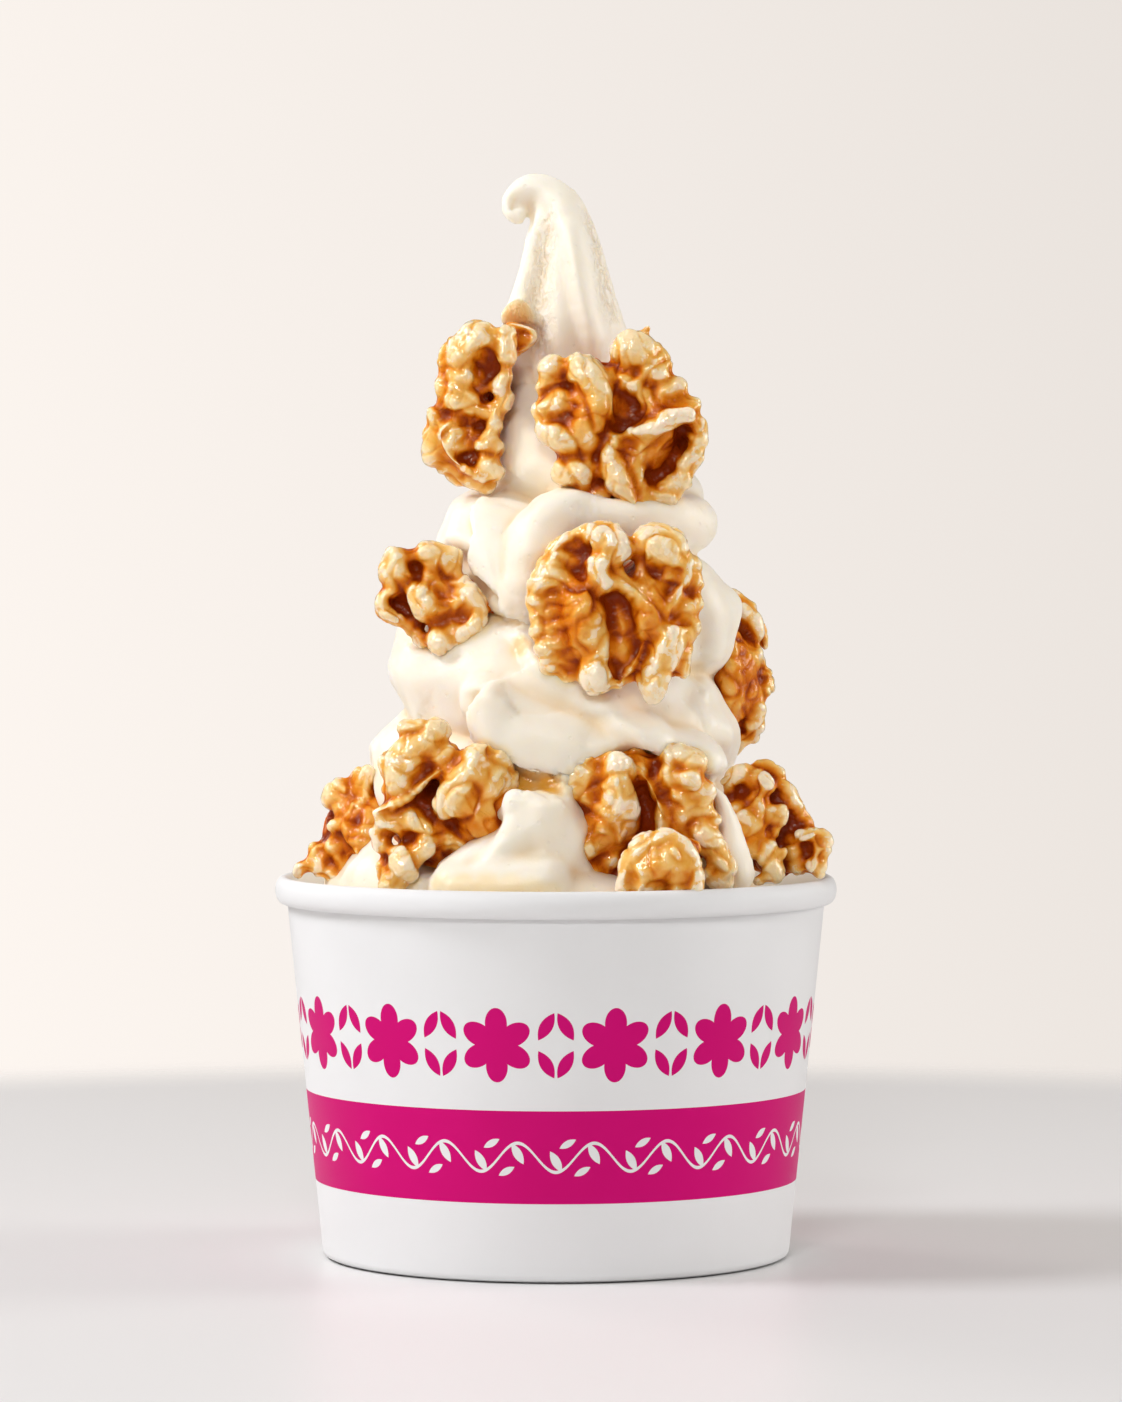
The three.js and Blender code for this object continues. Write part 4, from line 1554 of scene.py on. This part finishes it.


# ---- Folds drawn in the camera's frame --------------------------------------------------------------

UPPER_LEFT = Window(
    420,
    310,
    5.227,
    (
        (((300, 150, 88), (235, 225, 86)), 3, 1, 0.1), (((175, 185, 40), (128, 285, 34)), 1, 1, 0.5),
        (((205, 275, 56), (228, 345, 60)), 3.4, 1, 0.1), (((118, 395, 42), (150, 448, 46)), 1.2),
        (((80, 545, 46), (95, 585, 40)), 2, 1, 0.7), (((70, 660, 50), (82, 745, 54)), 1.2),
        (((178, 620, 54), (165, 705, 56)), 2.6), (((150, 820, 46), (215, 860, 46)), 0.8),
        (((275, 885, 46), (345, 915, 42)), 1.4),
        (((160, 590, 12), (108, 650, 14), (140, 735, 14), (200, 805, 14), (330, 885, 16)), 4.4, 3, 0.6),
        (((185, 488, 44), (250, 505, 40), (305, 520, 30)), 3.8, 1, 0.2),
        (((170, 405, 16), (255, 450, 18), (318, 520, 18)), 4.6, 2, 0.1),
        (((455, 130, 42), (440, 250, 48)), 4.2, 1, 0.2), (((440, 345, 36), (425, 402, 40)), 4.6),
        (((452, 455, 34), (436, 500, 38)), 4.6, 1, 0.6), (((388, 540, 52), (400, 590, 40)), 4),
        (((372, 660, 30), (330, 715, 32)), 4.2, 1, 0.3), (((405, 720, 38), (392, 760, 36)), 3.6),
        (((365, 810, 44), (400, 845, 42)), 4, 1, 0.1),
        (((300, 440, 13), (378, 385, 14), (400, 250, 15), (392, 180, 16)), 3.6, 4),
        (((470, 84, 12), (530, 86, 13), (586, 118, 14), (584, 160, 14), (548, 200, 13),
        (500, 236, 12)), 1.8, 2.6), (((505, 130, 34), (530, 160, 36), (520, 195, 26)), 1),
        (((262, 580, 10), (268, 660, 10), (238, 720, 10)), 3.4, 3, 0.3),
        (((330, 330, 30), (320, 400, 26)), 2.6), (((215, 690, 56), (250, 800, 60)), 0.2),
        (((270, 440, 50), (290, 560, 50)), 1.8), (((320, 255, 44), (332, 330, 42)), 2.2),
        (((280, 660, 46), (292, 770, 42)), 1.6),
    ),
)
UPPER_RIGHT = Window(
    420,
    310,
    5.227,
    (
        (((665, 315, 42), (705, 292, 46)), 2.4), (((640, 400, 34), (712, 378, 40)), 2.2),
        (((640, 522, 44), (725, 488, 58)), 3, 1, 0.3),
        (((672, 618, 52), (720, 650, 72), (812, 664, 74)), 3.4),
        (((755, 845, 55), (840, 840, 76)), 2.8, 1, 0.3), (((850, 960, 40), (938, 962, 38)), 1.8, 1, 0.8),
        (((838, 285, 62), (876, 350, 76), (925, 430, 62)), 4.2, 1, 0.5),
        (((925, 480, 42), (895, 560, 36), (950, 590, 36)), 2.6), (((955, 660, 26), (930, 690, 24)), 1.6),
        (((1000, 345, 30), (1075, 372, 36), (1150, 420, 32)), 3),
        (((1130, 380, 30), (1185, 470, 30), (1215, 545, 30)), 3.2),
        (((1018, 680, 34), (1000, 770, 42), (1040, 900, 50), (1128, 1035, 22)), 4.6, 1, 0.1),
        (((1075, 700, 26), (1135, 840, 28), (1160, 1000, 18)), 4),
        (((1105, 640, 26), (1180, 636, 34), (1240, 610, 42), (1320, 568, 40), (1400, 548, 38)), 5.4, 1, 1),
        (((1180, 650, 48), (1150, 745, 40)), 4.2, 1, 0.2), (((1100, 205, 86), (1135, 225, 82)), 2.2),
        (((1205, 305, 66), (1235, 330, 52)), 2.4, 1, 0.4),
        (((1225, 215, 34), (1275, 285, 38)), 1.2, 1, 0.6), (((1348, 400, 42), (1285, 440, 52)), 2.2),
        (((1425, 495, 36), (1330, 515, 42)), 2.8), (((1440, 600, 44), (1450, 690, 42)), 2.4),
        (((1435, 750, 40), (1380, 810, 44)), 2.4, 1, 0.3),
        (((1370, 880, 46), (1330, 905, 46)), 2.4, 1, 0.4),
        (((1290, 955, 62), (1235, 968, 58)), 2.2, 1, 0.1),
        (((1180, 150, 9), (1178, 112, 6), (1196, 88, 5)), 1.2, 1, 0.8),
        (((1090, 500, 24), (1110, 560, 22)), 1.6), (((1265, 740, 50), (1215, 880, 44)), 0.4),
        (((985, 450, 40), (1000, 560, 40), (985, 640, 34)), 2),
        (((1048, 440, 32), (1058, 560, 34), (1046, 640, 28)), 1.4),
    ),
)
MIDDLE_LEFT = Window(
    380,
    440,
    4.126,
    (
        (((72, 492, 50), (60, 545, 54)), 2, 1, 0.5),
        (((112, 560, 22), (60, 620, 20), (18, 640, 18), (12, 700, 20), (70, 742, 22)), 2.4, 2, 0.2),
        (((190, 462, 46), (232, 485, 48)), 2, 1, 0.5), (((300, 478, 34), (285, 535, 40)), 1.2, 1, 0.2),
        (((165, 645, 50), (195, 690, 54)), 4), (((240, 715, 46), (300, 685, 46)), 3),
        (((330, 590, 36), (340, 620, 36)), 2.2, 1, 0.4), (((360, 650, 48), (400, 688, 46)), 3.4, 1, 0.4),
        (((246, 835, 44), (240, 815, 36)), 4.2, 1, 0.5), (((335, 800, 42), (388, 760, 40)), 4, 1, 0.7),
        (((300, 765, 40), (280, 790, 36)), 3.4, 1, 0.2), (((410, 735, 32), (400, 770, 30)), 3.8, 1, 0.9),
        (((445, 690, 24), (492, 700, 14)), 2), (((120, 760, 26), (180, 830, 22)), 1),
        (((200, 565, 34), (262, 622, 34)), 2), (((90, 600, 44), (150, 700, 40)), -0.4),
        (((250, 640, 50), (330, 720, 50)), 0),
    ),
)
MIDDLE_FRONT = Window(
    380,
    440,
    4.126,
    (
        (((955, 368, 24), (890, 362, 26), (825, 385, 24), (760, 412, 24), (718, 462, 26)), 3, 1, 0.3),
        (((790, 415, 34), (838, 478, 28)), 2), (((735, 455, 36), (805, 508, 28)), 2.2),
        (((700, 520, 40), (770, 570, 30)), 2.6, 1, 0.3),
        (((655, 590, 36), (700, 560, 42), (748, 580, 36)), 3, 1, 0.7),
        (((640, 668, 34), (735, 655, 34)), 2.4), (((652, 722, 32), (765, 695, 32)), 2.6, 1, 0.4),
        (((655, 788, 34), (760, 762, 34)), 2.8, 1, 0.2), (((678, 852, 38), (770, 822, 36)), 2.8, 1, 0.3),
        (((700, 925, 36), (778, 885, 34)), 2.4), (((772, 968, 28), (800, 918, 28)), 2.2),
        (((895, 795, 54), (892, 880, 58)), 4, 1, 0.1), (((888, 960, 58), (900, 990, 54)), 4.2, 1, 0.9),
        (((890, 395, 40), (950, 425, 52), (990, 455, 42)), 4.8, 1, 1),
        (((935, 480, 46), (900, 530, 44), (928, 590, 40)), 4.8, 1, 1),
        (((970, 565, 30), (1010, 600, 30), (1060, 640, 32), (1100, 655, 26)), 4.2, 1, 0.6),
        (((1105, 660, 20), (1120, 700, 16)), 4.2, 1, 0.8),
        (((1130, 425, 74), (1195, 462, 72)), 2.8, 1, 0.2), (((1095, 500, 40), (1082, 585, 42)), 2.2),
        (((1225, 420, 18), (1265, 510, 20), (1240, 615, 22), (1185, 690, 24),
        (1145, 705, 20)), 3.8, 2, 0.9), (((1190, 560, 40), (1130, 620, 40)), 2.6),
        (((1285, 515, 30), (1275, 560, 26)), 1.6, 1, 0.3),
        (((1302, 590, 26), (1270, 600, 26)), 1.4, 1, 0.3), (((1292, 675, 40), (1232, 718, 38)), 2, 1, 0.1),
        (((1282, 765, 38), (1240, 800, 38)), 2),
        (((1205, 800, 48), (1170, 900, 52), (1130, 985, 46), (1130, 1045, 36)), 4, 1, 0.9),
        (((1245, 870, 32), (1250, 955, 28)), 1.6, 1, 0.3), (((1150, 722, 26), (1085, 790, 26)), 3.4),
        (((1042, 755, 26), (1032, 805, 24)), 2.2),
        (((1112, 665, 9), (1088, 780, 10), (1068, 885, 11), (985, 1015, 18)), 3.4, 4),
        (((870, 600, 22), (800, 660, 20)), 0.8), (((830, 700, 20), (760, 735, 18)), 1.2),
        (((960, 660, 48), (1002, 780, 50), (985, 890, 44)), 1.7), (((955, 905, 40), (1015, 965, 34)), 1.4),
        (((1040, 700, 30), (1075, 720, 30)), 1.2),
    ),
)
MIDDLE_RIGHT = Window(
    690,
    575,
    8.25,
    (
        (((300, 150, 36), (395, 190, 50), (490, 265, 50)), 0.8, 1, 0.1),
        (((520, 320, 34), (590, 465, 36), (612, 585, 26)), -1),
        (((415, 280, 50), (500, 385, 60), (548, 480, 46)), 2.6, 1, 0.8),
        (((440, 450, 50), (470, 530, 44)), 2.2), (((460, 640, 72), (525, 662, 68)), 3.8, 1, 0.1),
        (((580, 715, 34), (560, 750, 30)), 2.2, 1, 0.3), (((625, 835, 54), (645, 920, 52)), 1.4, 1, 0.5),
        (((372, 895, 96), (400, 985, 96)), 3, 1, 0.1), (((540, 990, 64), (600, 955, 60)), 2.8, 1, 0.2),
        (((565, 1110, 64), (540, 1240, 62)), 3.4), (((505, 1340, 46), (450, 1365, 42)), 1.8, 1, 0.3),
        (((425, 1375, 34), (378, 1480, 22)), 2.8, 1, 0.6), (((305, 1130, 80), (390, 1200, 76)), 1),
        (((500, 850, 60), (520, 900, 60)), 1.8),
    ),
)
LOWER_LEFT = Window(
    350,
    700,
    3.564,
    (
        (((205, 105, 30), (300, 105, 36), (320, 118, 30)), 2.8), (((268, 140, 48), (205, 185, 44)), 3),
        (((235, 195, 40), (205, 235, 44)), 3), (((150, 232, 44), (172, 280, 48)), 3, 1, 0.6),
        (((150, 320, 34), (178, 345, 30)), 1.6), (((312, 205, 30), (352, 188, 26)), 3.6, 1, 0.1),
        (((452, 215, 44), (405, 290, 52), (345, 375, 40)), 5, 1, 0.5),
        (((520, 225, 46), (495, 300, 56), (450, 350, 44)), 3.2, 1, 0.1),
        (((562, 275, 34), (545, 330, 38)), 2, 1, 0.2),
        (((490, 165, 11), (385, 212, 12), (285, 275, 12), (200, 350, 12), (92, 402, 11)), 4.6, 4),
        (((128, 428, 34), (190, 445, 34)), 3, 1, 1),
        (((218, 432, 30), (268, 475, 30), (262, 530, 28), (200, 560, 30)), 4, 1, 0.7),
        (((196, 600, 44), (185, 560, 38)), 4.4, 1, 0.2), (((165, 635, 36), (140, 655, 36)), 3),
        (((120, 600, 22), (125, 660, 22)), 2), (((310, 450, 32), (345, 490, 32)), 1.8),
        (((430, 470, 32), (392, 502, 32)), 1.2), (((95, 470, 20), (120, 520, 24)), 2, 1, 1),
    ),
)
RIM_LEFT = Window(
    285,
    735,
    9.8,
    (
        (((880, 185, 44), (905, 245, 44)), 0, 1, 0.3), (((722, 370, 50), (698, 455, 50)), 1.4, 1, 0.1),
        (((805, 365, 52), (772, 500, 58), (738, 620, 50)), 3, 1, 0.3),
        (((520, 530, 84), (470, 640, 82)), 1, 1, 0.5), (((600, 560, 66), (560, 730, 70)), 2),
        (((680, 690, 56), (655, 765, 56)), 4, 1, 0.3), (((770, 600, 38), (745, 650, 38)), 4, 1, 0.5),
        (((480, 895, 46), (600, 865, 52), (705, 925, 52), (745, 1040, 48)), 3.6, 1, 0.4),
        (((820, 780, 66), (800, 900, 60)), 2.4),
        (((470, 1085, 56), (575, 1030, 58), (680, 1085, 58)), 3.2, 1, 0.4),
        (((520, 1170, 28), (530, 1240, 28)), 3, 1, 0.4), (((640, 1170, 30), (620, 1250, 30)), 3, 1, 0.6),
        (((300, 1125, 64), (275, 1210, 62)), 1.4, 1, 0.2),
        (((165, 1275, 54), (125, 1345, 44)), 1.6, 1, 0.5), (((340, 1235, 70), (330, 1300, 70)), 1.8),
        (((640, 1290, 92), (590, 1390, 92)), 1.8), (((465, 1390, 60), (440, 1330, 50)), 2.2, 1, 0.4),
    ),
)
LOWER_FRONT = Window(
    350,
    700,
    3.564,
    (
        (((900, 205, 28), (850, 215, 34), (805, 275, 38), (790, 325, 34)), 3, 1, 0.4),
        (((850, 262, 34), (838, 335, 34)), 3.4, 1, 0.3),
        (((955, 235, 48), (945, 310, 54), (975, 385, 50)), 4.6, 1, 0.9),
        (((925, 395, 40), (942, 440, 42)), 3.4, 1, 0.1), (((835, 402, 24), (872, 398, 24)), 2),
        (((805, 480, 50), (842, 520, 54)), 3.2, 1, 0.1), (((828, 598, 40), (852, 625, 38)), 2.8, 1, 0.5),
        (((880, 662, 30), (905, 640, 28)), 1.8), (((950, 490, 32), (930, 562, 34)), 2),
        (((1030, 240, 14), (1078, 320, 17), (1110, 400, 20), (1108, 462, 18)), 3.6, 3),
        (((1150, 198, 42), (1225, 228, 44)), 3, 1, 0.3), (((1148, 265, 44), (1185, 335, 46)), 3),
        (((1205, 280, 44), (1225, 310, 36)), 4, 1, 0.7), (((1262, 330, 38), (1240, 405, 38)), 2.6, 1, 0.1),
        (((1205, 375, 30), (1195, 400, 26)), 3.6, 1, 0.4), (((1290, 420, 26), (1270, 440, 26)), 2),
        (((1248, 482, 42), (1285, 515, 42)), 3, 1, 0.6), (((1310, 560, 36), (1342, 600, 34)), 2.6, 1, 0.1),
        (((1285, 620, 34), (1332, 652, 32)), 2), (((1170, 440, 34), (1150, 520, 34)), 1.4),
        (((1000, 560, 34), (980, 640, 30)), 1), (((1015, 192, 26), (1050, 222, 30), (1100, 236, 28)), 1.2),
    ),
)
RIM_FRONT = Window(
    350,
    700,
    3.564,
    (
        (((972, 668, 24), (988, 600, 30), (1018, 545, 32), (1070, 505, 30), (1140, 500, 32),
        (1200, 540, 30), (1228, 615, 28), (1232, 672, 22)), 1, 1, 0.9),
        (((1088, 552, 30), (1060, 575, 28)), 1.4, 1, 0.3),
        (((1150, 545, 38), (1165, 570, 34)), 1.8, 1, 0.6),
        (((1035, 610, 32), (1042, 655, 32)), 1.4, 1, 0.9), (((1170, 620, 30), (1165, 665, 28)), 1, 1, 0.3),
        (((1105, 600, 34), (1100, 660, 34)), -0.2),
    ),
)
RIM_RIGHT = Window(
    700,
    745,
    10.455,
    (
        (((385, 300, 72), (285, 385, 66)), 2.8, 1, 0.3), (((450, 290, 66), (560, 400, 66)), 2),
        (((635, 345, 62), (705, 425, 72)), 3.4, 1, 0.9),
        (((620, 225, 45), (720, 240, 45), (830, 300, 48)), 0.4),
        (((840, 410, 66), (915, 500, 74), (955, 600, 62)), 0.2, 1, 0.1),
        (((1028, 655, 46), (1000, 690, 46)), 0.2), (((1050, 760, 66), (1105, 835, 62)), -0.2, 1, 0.1),
        (((600, 575, 72), (680, 690, 76)), 3.2, 1, 0.1), (((370, 640, 52), (330, 720, 48)), 2.4),
        (((440, 740, 86), (520, 860, 90)), 3.8, 1, 0.1), (((365, 890, 66), (435, 1020, 70)), 3),
        (((640, 990, 70), (560, 1095, 86)), 3.4, 1, 0.7),
        (((770, 770, 44), (850, 700, 46), (862, 810, 34)), 3, 1, 0.2),
        (((780, 895, 38), (775, 940, 30)), 2.8, 1, 0.3), (((735, 1085, 74), (690, 1180, 72)), 4.4),
        (((862, 1112, 28), (850, 1150, 24)), 4, 1, 0.2), (((735, 1265, 86), (785, 1345, 86)), 4.4),
        (((635, 1405, 48), (600, 1410, 40)), 4, 1, 0.2), (((1062, 945, 58), (1175, 925, 58)), 2.6, 1, 0.9),
        (((1290, 940, 50), (1330, 1005, 48)), 1.4), (((1235, 1085, 58), (1300, 1080, 56)), 2, 1, 0.6),
        (((1182, 1240, 52), (1180, 1270, 50)), 3, 1, 0.8),
        (((1262, 1250, 50), (1240, 1330, 52)), 2, 1, 0.1), (((990, 1050, 90), (1040, 1280, 80)), 0.2),
        (((730, 480, 84), (800, 640, 84)), -0.6), (((900, 820, 80), (960, 960, 84)), -0.6),
    ),
)
COIL = Drawing(
    ropes=(
        # hanging edge of the lower petal
        ((490, 700, 5, 25), (518, 722, 6.2, 25), (552, 738, 6.6, 25), (592, 747, 6.6, 25),
        (640, 744, 5.6, 25)),
        # cream below the ledge
        ((588, 814, 4.4, 26), (566, 824, 7.6, 27.2), (545, 846, 9.2, 27.5), (528, 872, 9.6, 27.5)),
        # cream that leans on the lower left kernel
        ((538, 822, 6, 31.4), (492, 850, 5.8, 31.4), (452, 874, 4.6, 31.4)),
        # cream over the front kernel
        ((596, 756, 5.5, 22.5), (640, 760, 6.5, 22.5), (690, 762, 5.5, 22.5)),
        # cream left of it
        ((550, 806, 4.4, 28.2), (536, 826, 6.4, 28.2), (518, 852, 7.6, 28.2)),
        # petal under the upper right kernel
        ((676, 524, 5.4, 2), (688, 524, 4.8, 10), (648, 530, 6, 15.6), (604, 525, 6, 16.8),
        (566, 517, 5.4, 18.4), (544, 528, 4.8, 20.4), (534, 550, 4.2, 21.8), (532, 576, 3.2, 22.4)),
        # drop of syrup at the foot of the peak
        ((508, 319, 1.5, 7.2), (519, 312, 2.1, 7.2), (530, 317, 1.5, 7.2)),
        # its foot at the rim
        ((540, 886, 6, 33.6), (500, 888, 6, 33.6), (456, 888, 4.6, 33.6)),
        # cream between the front kernels
        ((712, 804, 3, 23.6), (722, 842, 3.4, 23.6), (734, 876, 3.4, 23.6)),
        # bed of syrup under the ledge
        ((508, 786, 2.6, 25.5), (545, 793, 3.4, 27), (588, 799, 3, 27)),
        # lip by the lower left kernel
        ((516, 802, 2.2, 34.2), (498, 808, 1.8, 34.2), (484, 814, 1, 34.2)),
    ),
    strokes=(
        # ridge of the peak
        (((560, 212), (565, 232), (571, 258), (578, 300), (588, 342), (594, 368)), 1.5, 3.4, 1),
        # left edge of the peak
        (((531, 218), (529, 246), (523, 280), (513, 312)), 0.9, 1.6),
        # left edge of the upper petal
        (((500, 492), (484, 508), (478, 530), (480, 556), (492, 580), (512, 604), (534, 628)), 2.6, 6, 0.9),
        # lobe left of it
        (((462, 500), (455, 525), (460, 556)), 1, 3.4),
        # inner petal
        (((600, 502), (566, 503), (544, 512), (532, 530), (529, 552), (534, 574)), 1.7, 6.5, 2.6),
        # band under the upper right kernel
        (((570, 512), (620, 516), (665, 512), (700, 496)), 1.2, 3.4),
        # hollow of the curl
        (((520, 198), (514, 204), (513, 211)), -1, 1),
        # flow between the upper kernels
        (((528, 345), (522, 400), (520, 450), (515, 485)), 1, 3.2),
        # lip at the small kernel
        (((486, 600), (496, 612), (512, 616)), 0.9, 1.4, 0.8),
        # fold right of the small kernel
        (((505, 628), (520, 640), (530, 660), (560, 676), (600, 686)), 1.2, 3, 1),
        # left bulge
        (((420, 640), (408, 665), (410, 695), (425, 715)), 0.9, 5),
        # notch
        (((468, 686), (470, 706), (472, 726), (478, 742)), -1.5, 1.8),
        # edge of the lower petal
        (((510, 676), (490, 688), (481, 706), (482, 726), (490, 742), (510, 756), (536, 770), (562, 783),
        (590, 790)), 2.6, 6, 0.9),
        # groove under the edge
        (((500, 766), (530, 782), (560, 797)), -1, 1.6),
        # lower cream's top edge
        (((520, 790), (545, 800), (572, 806)), 0.9, 2),
        # long ridge
        (((580, 696), (606, 712), (636, 734), (668, 752), (705, 762), (738, 762)), 1.9, 3.4, 1.6),
        # right fold
        (((700, 560), (716, 600), (722, 640), (712, 676)), 1, 3.6),
        # fold behind the middle kernel
        (((700, 600), (706, 640), (700, 680), (684, 706)), -0.8, 2.2),
        # right corner
        (((700, 716), (722, 728), (736, 744)), 1.2, 2.6),
        # small lip at the right kernel
        (((706, 686), (712, 696)), 0.8, 1.2),
    ),
    stains=(
        (518, 315, 4.2, 0.8, 8.4), (640, 757, 5, 0.8, 26.5), (522, 786, 4.6, 1, 29.4),
        (550, 790, 4.8, 1, 30), (496, 618, 3.2, 0.55), (520, 646, 3, 0.7), (541, 783, 3.4, 0.6),
        (717, 775, 2.6, 0.55), (440, 884, 3.4, 0.45, 37), (462, 888, 4.4, 0.5, 38.5),
        (486, 891, 5, 0.52, 39.5), (510, 892, 5, 0.52, 40), (532, 893, 4.4, 0.46, 39.8),
        (552, 894, 3.4, 0.4, 39.6), (738, 862, 3, 0.45), (415, 640, 2.6, 0.5), (725, 850, 2.4, 0.5),
        (585, 690, 2, 0.35),
    ),
)


# ---- The whole cup ----------------------------------------------------------------------------------


def front_walnuts() -> list[Walnut]:
    """Lists the ten walnuts at the front and sides.

    Returns:
        The walnuts, from number 1.
    """
    # at; facing, tilt and roll; width, length and depth; folds
    rows = (
        ((-11.4, -9.4, 139.4), (208, 2, -8), (23.5, 28.5, 12.5), UPPER_LEFT),
        ((10.4, -16.6, 136.3), (280, 8, -14), (26.8, 29, 13), UPPER_RIGHT),
        ((-18.2, -16.5, 108.1), (236, 24, 52), (18.5, 18.5, 10), MIDDLE_LEFT),
        ((9.3, -27.4, 105.1), (277, 4, 8), (27, 28.2, 13), MIDDLE_FRONT),
        ((29.2, 5, 95.4), (8, 4, 3), (23, 27.2, 13), MIDDLE_RIGHT),
        ((-17.2, -27.6, 74.7), (248, 10, 22), (23.5, 27, 13), LOWER_LEFT),
        ((-33.6, -7, 71.8), (196, 30, 36), (15, 27.5, 11), RIM_LEFT),
        ((13.9, -26.8, 72.9), (281, 2, -4), (27.4, 24, 12.5), LOWER_FRONT),
        ((17.8, -37, 66.9), (292, 26, 84), (10.6, 18.6, 7), RIM_FRONT),
        ((34.6, -14.4, 71.2), (322, 22, -28), (19.5, 22, 11.5), RIM_RIGHT),
    )
    own = {
        1: {"lobes": (1.0, 0), "back": 0.45, "web": -0.8, "bed": -1.2},
        2: {"web": 0.7},
        3: {"lobes": (0.45, 0.6), "web": -0.8},
        4: {"web": 1.1, "bed": -1.2},
        5: {"back": 0.8, "web": -0.6},
        7: {"web": -0.6},
        8: {"web": 0.6, "bed": -0.6},
        9: {"web": 0.5, "bed": -1.0},
        10: {"back": 0.7, "web": -0.8},
    }
    walnuts = []
    for number, (at, turns, size, window) in enumerate(rows, 1):
        walnuts.append(Walnut(number, at, *turns, *size, window.folds(at), **own.get(number, {})))
    return walnuts


def back_walnuts(front: list[Walnut]) -> list[Walnut]:
    """Lists the four walnuts at the back, which mirror the folds of front ones.

    Args:
        front: the ten at the front and sides.

    Returns:
        The walnuts, from number 11.
    """
    # at; facing, tilt and roll; width, length and depth; the number of the one that it mirrors
    rows = (
        ((3.5, 26.5, 108), (92, 6, 20), (26, 28, 12.5), 4),
        ((-19, 26.4, 75.4), (128, 12, -30), (25, 27, 12.5), 2),
        ((16.6, 29.4, 73.6), (62, 12, 12), (24, 27, 12.5), 8),
        ((6.5, 14.6, 133.6), (74, 8, 16), (24, 27, 12), 4),
    )
    walnuts = []
    for number, (at, turns, size, twin) in enumerate(rows, len(front) + 1):
        folds = front[twin - 1].folds
        walnuts.append(Walnut(number, at, *turns, *size, folds, Seen.FACE, voxel=0.36))
    return walnuts


def main() -> None:
    """Builds the studio and the cup, piece by piece."""
    logging.basicConfig(level=logging.INFO, format="%(name)s: %(message)s")
    Studio().build()
    cup = PaperCup()
    cup.build()
    finish = GlazedWalnut().make()
    front = front_walnuts()
    walnuts = front + back_walnuts(front)
    kernels = np.vstack([walnut.build(finish) for walnut in walnuts])
    Yogurt(cup, COIL).build(walnuts, kernels)


if __name__ == "__main__":
    main()
